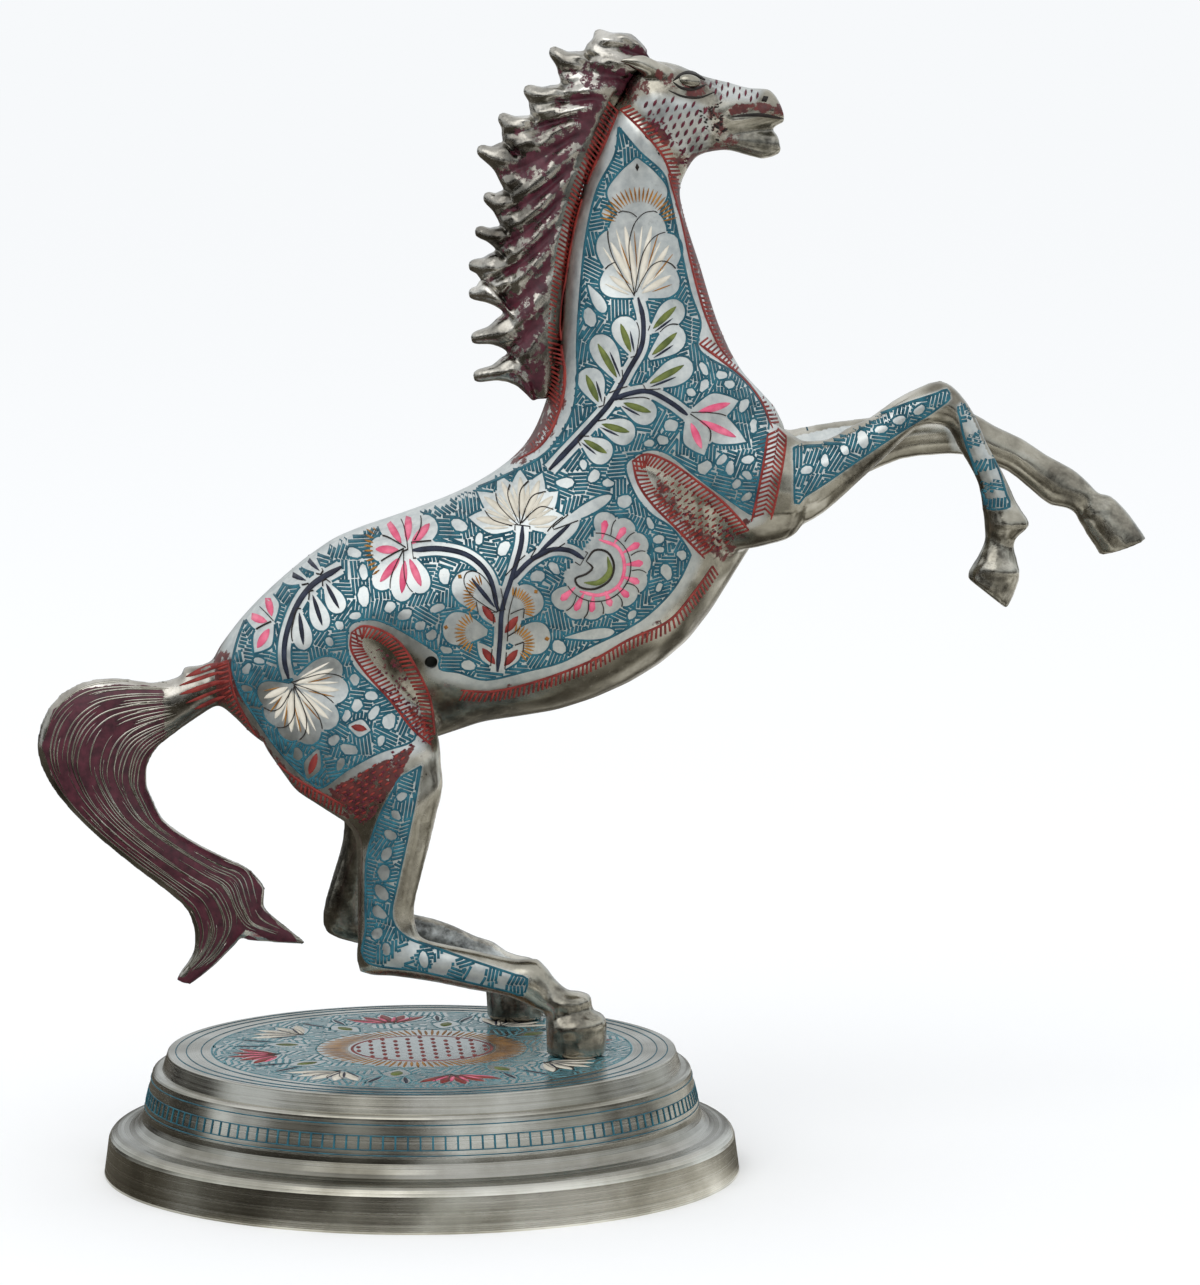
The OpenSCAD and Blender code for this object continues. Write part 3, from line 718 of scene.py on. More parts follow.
cut("soot", [(38, 116.5), (40, 119), (43, 118.5), (44.5, 115.5), (43.5, 112), (40, 110),
             (36.5, 110.5), (35.5, 112.5), (38, 113.5), (39.5, 115), (38, 116.5)], 0.5)
cut("olive", [(43, 117.5), (43.5, 114), (41, 111.5), (37.5, 111.5)], 1.4, "leaf")
for tip in [(-12, 77.5), (-27, 65.5)]:
    lobe(Vector(tip) * 0.45 + Vector((-22, 79.5)) * 0.55, tip, 4.4, POINTED, *RED)
TUFTS = [
    ((14.5, 108.5), (8, 113.5), 105, 225), ((12.5, 100), (4.5, 101.5), 110, 250),
    ((21, 105.5), (27, 110), -20, 90), ((21, 97), (30, 98.5), -50, 80),
]
for middle, tip, first, last in TUFTS:
    lobe(Vector(middle).lerp((18, 100), 0.5), tip, 8, ROUND)
    fringe(middle, 2.6, first, last, 13, 2.6)
    cut("gold", [Vector(middle).lerp(tip, 0.82), Vector(middle).lerp(tip, 0.95)], 1.1, "leaf")
for tip in [(12.5, 108), (23.5, 105.5), (12.5, 98), (23.5, 97.5)]:
    lobe((18, tip[1] - 7), tip, 4, POINTED, *BUD)
fringe((51.5, 193.5), 5.6, 12, 168, 23, 3.6)
fringe((-3.5, 118.5), 7.6, 150, 215, 11, 2)
print(len(cuts), "cuts in", len(shapes), "petals")

# %% [markdown]
# Dark stems tie the flowers together, and leaves stand off them in pairs. A leaf holds one olive
# cut, and a black one where the engraver wanted it deep.

# %% Stems and leaves
OLIVE = (("olive", 0.12, 0.82, 0.15, 1.5, "leaf"), ("dark", 0.1, 0.6, -0.35, 0.5, "leaf"))
BLACK = (("dark", 0.1, 0.85, 0, 1, "leaf"),)
STEMS = [
    [(51, 177), (52, 172), (51.5, 166), (48.5, 160.5), (44.5, 153.5), (39.5, 147.5), (30, 137)],
    [(44.5, 153.5), (48.5, 155), (53, 155.5), (58, 153), (62, 150)],
    [(17.5, 90.5), (18, 98), (18.5, 105.5), (21, 113.5), (23, 120), (23.5, 124.5)],
    [(17.5, 105), (15.5, 113), (11, 117.5), (4.5, 119), (-2, 118.5)],
    [(20.5, 112), (25, 116.5), (29.5, 119), (34, 119), (37.5, 117)],
    [(-18.5, 114.5), (-25, 110.5), (-29, 105.5), (-31.5, 99), (-32, 93.5), (-31, 89)],
]
LEAVES = [
    (OLIVE, 6.3, [
        ((53.5, 169), (61, 175)), ((53, 163), (61, 169)), ((52, 156.5), (62.5, 161.5)),
        ((49.5, 163.5), (47, 172)), ((46.5, 157.5), (41.5, 167.5)), ((42, 152), (39, 160)),
        ((46, 153), (54, 150)), ((41, 148), (49, 145.5)), ((37, 144.5), (43.5, 140.5))]),
    (BLACK, 4.8, [
        ((25.5, 117), (35.5, 126)), ((-22.5, 111.5), (-19, 105)), ((-25.5, 109), (-23, 101)),
        ((-28.5, 105), (-27.5, 96.5)), ((-26, 111), (-33, 112.5)), ((-23, 113), (-28.5, 117)),
        ((17.5, 105), (11, 113))]),
    ((), 3, [((39.5, 180), (43, 174)), ((30.5, 124), (43, 131)), ((33, 98.5), (44, 99.5))]),
]
for points in STEMS:
    stem(points)
for fills, width, pairs in LEAVES:
    for base, tip in pairs:
        lobe(base, Vector(base).lerp(tip, 1.1), width, ROUND, *fills)
print(len(cuts), "cuts with stems,", len(shapes), "shapes")

# %% [markdown]
# Two tools fill an area with small marks. Dashes stand in straight rows, each row shifted by half
# a step against the last, and specks fall at random. A test whether a spot lies inside an outline
# counts how often a level line from it crosses the edge.

# %% Tools to fill an area
DASH_ROW = 1.3
DASH_STEP = 2.1
DASH_L = 1.4
DASH_W = 0.5
SPECK = (0.9, 0.6)
SPECK_W = (0.3, 0.7)


def inside(flat, outline):
    held = np.zeros(len(flat), bool)
    for (x0, z0), (x1, z1) in zip(outline, [*outline[1:], outline[0]]):
        spans = (z0 > flat[:, 1]) != (z1 > flat[:, 1])
        crossing = x0 + (flat[:, 1] - z0) / ((z1 - z0) or 1) * (x1 - x0)
        held ^= spans & (flat[:, 0] < crossing)
    return held


def dashes(name, outline, turn, size):
    low, high = np.min(outline, axis=0), np.max(outline, axis=0)
    middle, reach = Vector((low + high) / 2), np.linalg.norm(high - low) / 2
    along = heading(turn)
    across = Vector((-along.y, along.x))
    rows, steps = int(reach / size / DASH_ROW), int(reach / size / DASH_STEP)
    for row in range(-rows, rows + 1):
        for step in range(-steps, steps + 1):
            shift = across * row * DASH_ROW + along * (step + row % 2 / 2) * DASH_STEP
            here = middle + shift * size
            if inside(np.array([here]), outline)[0]:
                half = along * DASH_L / 2 * size
                cut(name, [here - half, here + half], DASH_W * size, "leaf", 0.7)


def specks(name, outline, count):
    low, high = np.min(outline, axis=0), np.max(outline, axis=0)
    spots = np.array([[random.uniform(low[k], high[k]) for k in range(2)] for _ in range(count)])
    for spot in spots[inside(spots, outline)]:
        tip = spot + np.array([random.uniform(-reach, reach) for reach in SPECK])
        cut(name, [spot, tip], random.uniform(*SPECK_W), "leaf", 0.7)


print("dashes and specks ready")

# %% [markdown]
# Red borders of slanted ticks run along the crest, throat, chest, belly and rump, and close the
# drops behind the elbow and in the flank. The cheek and the drops are filled with rows of short
# pecked dashes.

# %% Borders
EDGES = [
    ([(47, 220), (43.5, 212), (40, 204), (37.5, 196), (35.5, 186.5), (34, 176), (33.5, 166.5),
      (34.2, 159), (33.3, 152.5), (30.8, 145.8), (27.5, 141.5), (23.5, 138.8)], 3, -1.2, -1),
    ([(47.5, 220.5), (52, 216), (57, 210), (59.5, 204.5)], 2.4, 1, 1),
    ([(58.5, 205.5), (61.5, 196), (64, 184.5), (67, 173.5), (70.5, 165.5), (73.5, 161.5)],
     2.2, 1, 1),
    ([(65.5, 166), (71, 162), (76.5, 157.5), (80.5, 152), (82.5, 146.5)], 2.4, 1, 1),
    ([(81, 145), (79, 135), (77, 125)], 2.4, -1.4, 1),
    ([(85.5, 144.5), (83.5, 135), (81.5, 125.5)], 2.2, -1.4, -1),
    ([(68.5, 114), (64, 108), (58, 101.5), (48.5, 97.5), (39.5, 92.5), (27.5, 88), (17, 85.5),
      (9, 86)], 2.6, 1, 1),
    ([(-45, 92), (-44, 85.5), (-41.5, 79.5), (-37.5, 72.5), (-31.5, 67), (-24.5, 63), (-18, 59.5)],
     2.6, 1, -1),
    ([(49, 139.5), (50.5, 134), (54, 129), (59, 124), (66.5, 116)], 2.8, 1, 1),
    ([(76.5, 123), (71, 129), (65, 134), (58, 139), (52.5, 141), (49, 139.5)], 2.8, 1, 1),
    ([(-16.5, 100), (-16.5, 96), (-13.5, 91), (-7.5, 84), (-2.5, 77.5), (2, 73.5)], 2.8, 1, 1),
    ([(3, 75.5), (2.5, 81), (1, 86.5), (-4, 96), (-8.5, 100), (-13.5, 101.5), (-16.5, 100)],
     2.8, 1, 1),
]
DASHED = [
    ("maroon", [(67.5, 227.5), (75, 227), (81, 225), (79, 222.5), (71, 223)], 78, 1.1),
    ("maroon", [(51, 222.5), (55, 224), (62, 223), (67, 221), (68.5, 216.5), (68, 212),
                (64.5, 209.5), (60, 211.5), (55, 216.5)], 62, 1.25),
    ("red", [(53, 138), (56, 131), (66, 119), (71, 118), (74, 122.5), (63, 133)], 40, 1),
    ("red", [(-18, 59.5), (-21.5, 63.5), (-16.5, 67), (-9, 71), (-2, 74), (-4.5, 69.5), (-9, 64),
             (-14.5, 55)], 35, 1),
]
SPECKLED = [
    ("soot", [(66, 220), (70.5, 222), (73, 219), (73, 215), (70, 213), (67, 216)], 70),
    ("maroon", [(53, 219), (58, 213), (62, 207), (65, 209), (60, 214), (55, 221)], 110),
    ("maroon", [(-17, 58.5), (-22, 63.5), (-16.5, 67.5), (-9, 71.5), (-1.5, 74.5), (-4.5, 69),
                (-9, 63), (-14, 54)], 220),
    ("maroon", [(-12, 98), (-6, 93), (0, 81), (2, 74), (0.5, 73), (-6, 82), (-13, 92)], 160),
    ("maroon", [(56, 131), (66, 119), (71, 117), (75, 122.5), (63, 134)], 110),
]
DOCK = [
    ([(-45, 91.5), (-50, 89.5), (-55, 87.5)], 1.2),
    ([(-45.5, 89.5), (-51, 87.5), (-56.5, 85.5)], 0.8),
    ([(-45, 87.5), (-50.5, 85.5), (-56.5, 83.5)], 1.2),
    ([(-45.5, 85.5), (-50, 83.5), (-55, 81.5)], 0.8),
    ([(-45.5, 83.5), (-49.5, 81.5), (-53, 80)], 1),
]
FACE = [
    ([(59.5, 227), (61.5, 225.6), (64.5, 225.3), (67.5, 226.3)], 0.7),
    ([(59.5, 227.2), (61.5, 228.6), (64.5, 229), (67.5, 227.4)], 0.8),
    ([(58.5, 225), (62, 223.6), (66, 223.4), (69.5, 224.6)], 0.5),
    ([(80.8, 222.6), (82.4, 223.4)], 1.4),
    ([(73.5, 218.8), (77, 219.2), (81, 219.2), (86, 218.4)], 0.8),
]
BORDER_W = 0.55
TICK = 1.15

for points, length, slant, hand in EDGES:
    edge("red", points, BORDER_W, length, TICK, slant, hand)
for name, outline, turn, size in DASHED:
    dashes(name, outline, turn, size)
for points, width in DOCK:
    cut("red", points, width, "leaf")
for name, outline, count in SPECKLED:
    specks(name, outline, count)
for points, width in FACE:
    cut("soot", points, width, "leaf")
print(len(cuts), "cuts with the borders")

# %% [markdown]
# What is left of the panel is ground. Small bare pebbles are spread over it and outlined, and the
# rest is hatched with short teal cuts, in patches that each lean their own way. A sheet of small
# squares remembers what is still open, so that no cut runs over a flower or a pebble. Petals,
# leaves and stems that touch are outlined together, as one shape.

# %% Tools for the ground
PATCH = 5
ROW = 0.84
HATCH = 0.64
HATCH_STEP = 1.5
LEANS = (5, -20, 65, 90)
LEAN_SWAY = 12
OUTLINE = 0.5
SQUARE = 0.2
JITTER = 0.3
PEBBLE_SIZE = (0.7, 1.1)
PEBBLE_L = (1.8, 2.6)
PEBBLE_W = (1.15, 1.8)
CLEAR = 1.22
SHORTEST = 3


def scattered(outline, gap, only_inside=True):
    low, high = np.min(outline, axis=0), np.max(outline, axis=0)
    spots = [
        (x + random.uniform(-JITTER, JITTER) * gap, z + random.uniform(-JITTER, JITTER) * gap)
        for x in np.arange(low[0], high[0], gap) for z in np.arange(low[1], high[1], gap)
    ]
    random.shuffle(spots)
    spots = np.array(spots)
    return spots[inside(spots, outline)] if only_inside else spots


def pebble(spot):
    turn, size = random.uniform(0, math.pi), random.uniform(*PEBBLE_SIZE)
    long = random.uniform(*PEBBLE_L)
    ring = size * np.array([(long * math.cos(a), random.uniform(*PEBBLE_W) * math.sin(a))
                            for a in np.linspace(0, 2 * math.pi, 10)])
    ring[-1] = ring[0]
    spun = np.array([(math.cos(turn), math.sin(turn)), (-math.sin(turn), math.cos(turn))])
    return ring @ spun + np.array(spot)


class Sheet:
    def __init__(self, outline):
        self.low = np.min(outline, axis=0)
        self.size = ((np.max(outline, axis=0) - self.low) / SQUARE).astype(int) + 2
        grid = np.stack(np.meshgrid(*map(np.arange, self.size), indexing="ij"), axis=-1)
        self.places = grid * SQUARE + self.low
        self.open = inside(self.places.reshape(-1, 2), outline).reshape(self.size)

    def close(self, shape):
        start, end = [
            np.clip(((corner - self.low) / SQUARE).astype(int) + 1, 0, self.size)
            for corner in (np.min(shape, axis=0), np.max(shape, axis=0))
        ]
        part = (slice(start[0], end[0]), slice(start[1], end[1]))
        places = self.places[part]
        self.open[part] &= ~inside(places.reshape(-1, 2), shape).reshape(places.shape[:2])

    def is_open(self, flat):
        at = np.rint((flat - self.low) / SQUARE).astype(int)
        held = ((at >= 0) & (at < self.size)).all(axis=1)
        at = np.clip(at, 0, self.size - 1)
        return held & self.open[at[:, 0], at[:, 1]]


def runs(flat, wanted):
    run = []
    for spot, good in zip(flat, wanted):
        if good:
            run.append(tuple(spot))
        else:
            if len(run) >= SHORTEST:
                yield run
            run = []
    if len(run) >= SHORTEST:
        yield run


def outlined(group, sides):
    for number, shape in enumerate(group):
        spots = np.array([*shape, shape[0]])
        seen = np.ones(len(spots), bool)
        inner = np.zeros(len(spots), bool)
        for k, other in enumerate(group):
            apart = np.min(other, axis=0) > spots.max(axis=0)
            apart |= np.max(other, axis=0) < spots.min(axis=0)
            if k < number and not apart.any():
                inner |= inside(spots, other)
            elif k > number and not apart.any():
                seen &= ~inside(spots, other)
        for name, width, wanted in (("teal", FINE, seen & ~inner), ("soot", VEIN, seen & inner)):
            for run in runs(spots, wanted):
                cut(name, run, width, "even", 0, sides)


def hatched(sheet, seeds, number, pitch, sides):
    turn = math.radians(random.choice(LEANS) + random.uniform(-LEAN_SWAY, LEAN_SWAY))
    along = np.array((math.cos(turn), math.sin(turn)))
    across = np.array((-along[1], along[0]))
    near = seeds[np.linalg.norm(seeds - seeds[number], axis=1) < 4 * PATCH]
    steps = np.arange(-2 * PATCH, 2 * PATCH, SQUARE)[:, None]
    for row in np.arange(-2 * PATCH, 2 * PATCH, pitch):
        line = seeds[number] + across * row + along * steps
        gaps = np.linalg.norm(line[:, None] - near, axis=2)
        mine = gaps.min(axis=1) >= np.linalg.norm(line - seeds[number], axis=1) - 1e-9
        for run in runs(line, mine & sheet.is_open(line)):
            cut("teal", [run[0], run[-1]], HATCH, "even", HATCH_STEP, sides)


def ground(outline, spots, kept, sides, pitch=ROW):
    sheet = Sheet(outline)
    cut("teal", [*outline, outline[0]], OUTLINE, "even", HATCH_STEP, sides)
    outlined(kept, sides)
    for shape in kept:
        sheet.close(shape)
    for spot in spots:
        ring = pebble(spot)
        if sheet.is_open(spot + (ring - spot) * CLEAR).all():
            cut("teal", [tuple(p) for p in ring], FINE, "even", 0, sides)
            sheet.close(ring)
    seeds = scattered(outline, PATCH, False)
    for number in range(len(seeds)):
        hatched(sheet, seeds, number, pitch, sides)


print("ground can be cut")

# %% [markdown]
# The panel runs from the throat to the rump, between the borders. Its outline goes round the two
# drops.

# %% Ground of the panel
PANEL = [
    (47, 216.5), (51.5, 211), (57, 206), (58.5, 202), (60.5, 192.5), (63.5, 178.5), (66, 171),
    (65.5, 164.5), (75.5, 158), (81.5, 149.5), (81, 145), (78, 133), (77.5, 127.5), (76.5, 127),
    (65, 135), (57.5, 141), (52.5, 142), (48, 139.5), (47.5, 137), (50, 131), (53.5, 127),
    (58.5, 123.5), (62.5, 118), (62.5, 116), (59, 109.5), (53, 103.5), (46.5, 99.5), (39, 96),
    (32.5, 92.5), (24.5, 90.5), (15, 88.5), (8.5, 90.5), (4, 91.5), (3.5, 95), (-4, 100),
    (-11, 103), (-16.5, 102), (-17.5, 97.5), (-16, 92), (-9.5, 85.5), (-3.5, 79.5), (-2, 75),
    (-10, 72.5),
    (-17.5, 68.5), (-23.5, 64), (-26, 65), (-32, 70.5), (-37.5, 77.5), (-41.5, 83.5), (-43, 87),
    (-44, 92), (-41, 101), (-35, 108), (-28, 114), (-18.5, 120), (-4.5, 125), (7.5, 129.5),
    (19, 134.5), (29.5, 140.8), (35.2, 149.5), (36.8, 158), (37, 167), (38, 180), (39.5, 192),
    (42, 202), (46, 210),
]
PEBBLE_GAP = 1.9

ground(PANEL, scattered(PANEL, PEBBLE_GAP), shapes, "both")
print(len(cuts), "cuts with the ground")

# %% [markdown]
# Each leg carries its own strip of ground down its flat outer face, with a row of pebbles along
# the middle. The legs stand differently, so their strips are drawn one by one. Low on the right
# legs the strip breaks up into small hatched boxes with bare metal between them.

# %% Leg strips
STRIPS = [
    ("right",
     [(-0.5, 69), (-2, 61), (-4, 51.5), (-6, 42.5), (-7.5, 34), (-4, 29), (3.5, 26), (13.5, 22.5),
      (24, 19)],
     [(-5.5, 66.5), (-10, 58), (-13, 48.5), (-13.5, 40), (-13.5, 31), (-13.5, 23.5), (-1, 21),
      (11, 18), (23, 15)],
     [(0.61, 0.65), (0.72, 0.77), (0.83, 0.87), (0.92, 0.95)]),
    ("right",
     [(87, 142), (96, 145), (105.5, 149), (114, 152.5), (123, 155.5)],
     [(87, 129.5), (94, 134), (103, 140), (111.5, 145.5), (119, 150), (123.5, 153.5)], []),
    ("right",
     [(128, 153), (132, 144.5), (135.5, 136.5), (138, 128)],
     [(125.5, 151.5), (127, 144.5), (130, 136.5), (133, 127.5)],
     [(0.17, 0.29), (0.42, 0.55), (0.66, 0.76), (0.86, 0.91)]),
    ("left",
     [(90, 140.5), (98, 143.5), (107, 144.5), (117, 146), (126, 147.5), (132, 146.5), (139, 143),
      (145, 140), (151, 136), (157, 132)],
     [(89, 129), (97.5, 131), (107, 135), (117, 138.5), (125, 139.5), (131.5, 139.5), (137.5, 137),
      (143, 135), (148.5, 131), (154.5, 127)], []),
    ("left",
     [(0, 69), (-2.5, 60), (-6, 50), (-9.5, 40), (-13, 31), (-11.5, 26.5), (-4, 24.5), (5, 21.5),
      (13, 17.5), (18, 15.5)],
     [(-8, 66), (-12, 57), (-15, 47), (-18, 37), (-20, 23.5), (-11, 21), (-1, 18.5), (8, 15.5),
      (15, 12.5)], []),
]
STRIP_STEP = 3
FINE_STEP = 0.5
STRIP_GAP = 5
STRIP_ENDS = (0.08, 0.92)
strip_outlines = []
for side, front, rear, gaps in STRIPS:
    loop = flowing(front, STRIP_STEP) + flowing(rear, STRIP_STEP)[::-1]
    outline = [tuple(p) for p in loop]
    front, rear = flowing(front, FINE_STEP), flowing(rear, FINE_STEP)
    count = int((len(front) + len(rear)) / 2 * FINE_STEP / STRIP_GAP)
    spots = [
        (front[int(len(front) * share)] + rear[int(len(rear) * share)]) / 2
        for share in np.linspace(*STRIP_ENDS, count)
    ]
    bare = [
        [tuple(line[int((len(line) - 1) * share)])
         for line, share in ((front, start), (front, end), (rear, end), (rear, start))]
        for start, end in gaps
    ]
    ground(outline, np.array(spots), bare, side)
    strip_outlines.append((SIDES[side], outline))
print(len(cuts), "cuts in all")

# %% [markdown]
# The top of the plinth has a drawing of its own, seen from above and centred on the plinth: a
# checked disc with a gold fringe, then red and white flowers by turns with leaves between them.

# %% Plinth top
FIELD_R = 49.5
DISC_R = 16.5
FRINGE_R = 25
ROUND_STEPS = 64
TICKS = 90
FANS = 8
FAN_TURN = 10
FAN_R = (34, 48)
LEAF_R = (27, 38)
BLADE_R = (36, 46)
FIELD_GAP = 9
FIELD_ROW = 1.6
RED_FAN = (("red", 0.12, 0.88, 0, 2.5, "leaf"), ("pink", 0.2, 0.7, 0.6, 0.9, "leaf"))
WHITE_FAN = (("cream", 0.12, 0.88, 0, 2.5, "leaf"), ("dark", 0.1, 0.6, 0.6, 0.7, "leaf"))
LEAF = ("olive", 0.25, 0.75, 0, 2.8, "leaf")
first = len(cuts)
shapes.clear()


def on_top(radius, degrees):
    return heading(degrees) * radius


def round_line(radius):
    turns = [2 * math.pi * k / ROUND_STEPS for k in range(ROUND_STEPS)]
    return [(radius * math.cos(a), radius * math.sin(a)) for a in turns]


disc = round_line(DISC_R)
cut("red", [*disc, disc[0]], 0.7, "even")
dashes("red", round_line(DISC_R - 1), 90, 2.3)
for k in range(TICKS):
    turn = 360 / TICKS * k
    ends = [on_top(DISC_R + 1, turn), on_top(FRINGE_R - 1.5 * (k % 2), turn + 180 / TICKS)]
    cut("gold", ends, 0.7, "leaf")
for k in range(FANS):
    turn = FAN_TURN + 360 / FANS * k
    for spread in (-14, -7, 0, 7, 14):
        tip = on_top(FAN_R[1] - abs(spread) * 0.25, turn + spread)
        lobe(on_top(FAN_R[0], turn), tip, 5, POINTED, *(WHITE_FAN if k % 2 else RED_FAN))
    between = turn + 180 / FANS
    lobe(on_top(LEAF_R[0], between), on_top(LEAF_R[1], between), 7, POINTED, LEAF)
    for hand in (-1, 1):
        tip = on_top(BLADE_R[1], between + 6 * hand)
        lobe(on_top(BLADE_R[0], between + 4 * hand), tip, 2.6, POINTED, *BLACK)
field = round_line(FIELD_R)
ground(field, scattered(field, FIELD_GAP), [*shapes, round_line(FRINGE_R)], "both", FIELD_ROW)
cuts[first:] = [
    ("aqua" if name == "teal" else name, "top", path) for name, _, path in cuts[first:]
]
print(len(cuts) - first, "cuts on the plinth's top")

# %% [markdown]
# The finish of the brass follows the drawing too. Its face is scraped pale in and round the panel
# and the leg strips, and red lac still clings where the scraper couldn't reach: round the eye and
# lips, under the jaw and throat, in the hollows and along the rump. The hooves are tarnished, and
# painted shade darkens the inner faces of the far legs, the underside of the near foreleg, the
# eye socket, the jaw's lower edge and the belly by the hind leg.

# %% Where the brass is scraped and where lac clings
STAINS = [
    ([(57, 228.5), (61, 225.5), (68, 225)], 4, 0.5),
    ([(74, 220.5), (80, 221), (86, 220.5)], 2.6, 0.58),
    ([(69, 219), (71, 215)], 4.5, 0.5), ([(60, 208), (66, 209), (74, 213.5)], 3.5, 0.55),
    ([(54.5, 217), (58, 213.5)], 2.2, 0.62), ([(48, 223), (53, 226)], 4, 0.5),
    ([(60, 204), (63, 194), (66, 182), (70, 170), (74, 163)], 2.4, 0.62),
    ([(32, 153), (28.5, 145), (23, 139.5)], 4, 0.58),
    ([(80, 146), (78, 133), (76, 124)], 3.5, 0.42), ([(56, 132), (66, 120), (72, 118)], 6, 0.5),
    ([(-7, 92), (-1, 80), (1, 74)], 4.5, 0.42),
    ([(-45, 92), (-42, 79), (-32, 66), (-18, 58)], 3.5, 0.5), ([(-46, 91), (-47, 84)], 6, 0.62),
    ([(9, 84.5), (27, 86.5), (48, 95.5), (65, 107)], 2.6, 0.4),
]
# Dark, pitted tarnish on the hooves, and painted shade on the places marked below.
TARNISH_AND_SHADE = [
    ("hind_leg_right", [(31.5, 13), (36, 6), (34, 0)], 9, 0.34),
    # Painted shade on the inner face of the far hind leg.
    ("hind_leg_left", [(-19, 48), (-20, 24), (0, 23), (14, 17)], 9, 0.55),
    ("hind_leg_left", [(20, 6), (24, 1)], 10, 0.62),
    ("foreleg_right", [(132, 121), (134, 111), (135.5, 105)], 8, 0.42),
    # Painted shade under the near foreleg.
    ("foreleg_right", [(100, 136), (112, 141), (124, 145)], 5, 0.45),
    ("foreleg_left", [(154, 131), (164, 125), (172, 117)], 8, 0.36),
    # Painted shade in the eye socket.
    ("head", [(58, 226.5), (64, 228), (69, 225)], 5, 0.42),
    # Painted shadow along the jaw's lower edge.
    ("head", [(66, 211.5), (72, 212), (83, 213.5)], 5, 0.55),
    # Painted shade under the belly by the hind leg.
    ("body", [(5, 82), (10, 78.5), (20, 80)], 7, 0.45),
]
THIGH = [
    (-18, 59), (-22, 63.5), (-16.5, 66.5), (-9, 70.5), (-2, 73.5), (-6, 66.5), (-10, 60), (-14, 55),
]
THIGH_LAC = 0.62
CHEEK = 0.85
OUTER = 0.6
SOFT = 1.4


def store(piece, name, amounts):
    layer = piece.data.attributes.get(name) or piece.data.attributes.new(name, "FLOAT", "POINT")
    layer.data.foreach_set("value", np.clip(amounts, 0, 1).astype(np.float32))


def nearness(flat, path, radius):
    return np.clip(SOFT - SOFT * distance_to_path(flat, path) / radius, 0, 1)


def depth_in(flat, outline):
    depth = distance_to_path(flat, [*outline, outline[0]])
    return np.where(inside(flat, outline), depth, -depth)


for name, piece in skins.items():
    flat = to_flat(coordinates(piece))
    facing = normals(piece)[:, 1]
    scraped = [depth_in(flat, PANEL) / 2 + 2]
    for hand, strip in strip_outlines:
        scraped.append(np.where(facing * hand > OUTER, depth_in(flat, strip) + 0.8, 0))
    for _, cheek, _, _ in DASHED[:2]:
        scraped.append(np.clip(depth_in(flat, cheek) / 2 + 0.5, 0, CHEEK))
    clinging = [amount * nearness(flat, path, radius) for path, radius, amount in STAINS]
    # How much tarnish and painted shade darken each corner of this piece.
    tarnish_and_shade_levels = [amount * nearness(flat, path, radius) for part, path, radius, amount in TARNISH_AND_SHADE
                 if name.startswith(part)]
    clinging.append(THIGH_LAC * np.clip(depth_in(flat, THIGH) + 1, 0, 1))
    store(piece, "scraped", np.max(scraped, axis=0))
    store(piece, "lac", np.max(clinging, axis=0))
    if tarnish_and_shade_levels:
        store(piece, "tarnish", np.max(tarnish_and_shade_levels, axis=0))
print(len(STAINS), "stains on", len(skins), "pieces")

# %% [markdown]
# The mane is cast as a comb of locks. A fine remesh of its solid gives a surface to model on. Each
# lock has a ridge from its flicked tip up into the crest, and where two locks are equally near
# there is a groove. Along the groove the maroon lac stays, and on the ridge it wears off.

# %% Mane
LOCK_TIPS = [
    (42.5, 238), (32, 234), (26, 225), (20, 218.5), (15, 211), (16.5, 200), (14.5, 192), (13, 184),
    (13, 177.5), (13.5, 167), (14, 158),
]
RIDGE = 2.2
GROOVE = 1.1
BLUNT = 0.9
CREST_BAND = 6.5
LOCK_VOXEL = 0.5
LOCK_FADE = 2.5
LOCK_RUN = 6
HAIR_RELIEF = 0.16
DULL = 0.22


def lock_path(x, z):
    rise = np.interp(z, (158, 200, 225, 238), (15, 10, 0, -6))
    return [(x, z), (x + 6, z + 0.05 * rise), (x + 13, z + 0.45 * rise), (x + 21, z + 1.1 * rise)]


mane = copies(["mane"], "mane_locks")
modified(mane, "REMESH", mode="VOXEL", voxel_size=LOCK_VOXEL * MM, use_smooth_shade=True)
modified(mane, "SMOOTH", factor=0.5, iterations=3)
places = coordinates(mane)
flat = to_flat(places)
ways = [[tuple(p) for p in flowing(lock_path(*tip), 2)] for tip in LOCK_TIPS]
reach = np.sort([distance_to_path(flat, way) for way in ways], axis=0)
ridge = (reach[1] - reach[0]) / (reach[1] + reach[0])
tip_reach = np.min([np.linalg.norm(flat - np.array(tip), axis=1) for tip in LOCK_TIPS], axis=0)
crest_reach = distance_to_path(flat, EDGES[0][0])
strength = np.clip(tip_reach / LOCK_RUN, 0.3, 1) * np.clip(crest_reach / LOCK_RUN - 0.3, 0, 1)
side = np.clip((places[:, 1] / MM - FIGURE_Y) / LOCK_FADE, -1, 1)
hair = HAIR_RELIEF * np.sin(9 * ridge + 0.5 * flat[:, 0])
places[:, 1] += side * strength * (np.sin(ridge * math.pi / 2) * RIDGE - GROOVE + hair) * MM
places += normals(mane) * (BLUNT * np.exp(-(tip_reach / 5) ** 2))[:, None] * MM
put_back(mane, places)
modified(mane, "SMOOTH", factor=0.5, iterations=2)
on_crest = np.clip((CREST_BAND - crest_reach) / 3, 0, 1)
on_tip = np.exp(-(tip_reach / 8) ** 2)
store(mane, "lac", np.minimum(0.75 - 0.34 * ridge - 0.5 * on_tip, 1 - 0.75 * on_crest))
store(mane, "tarnish", np.full(len(flat), DULL))
print(mane.name, len(mane.data.polygons), "faces")

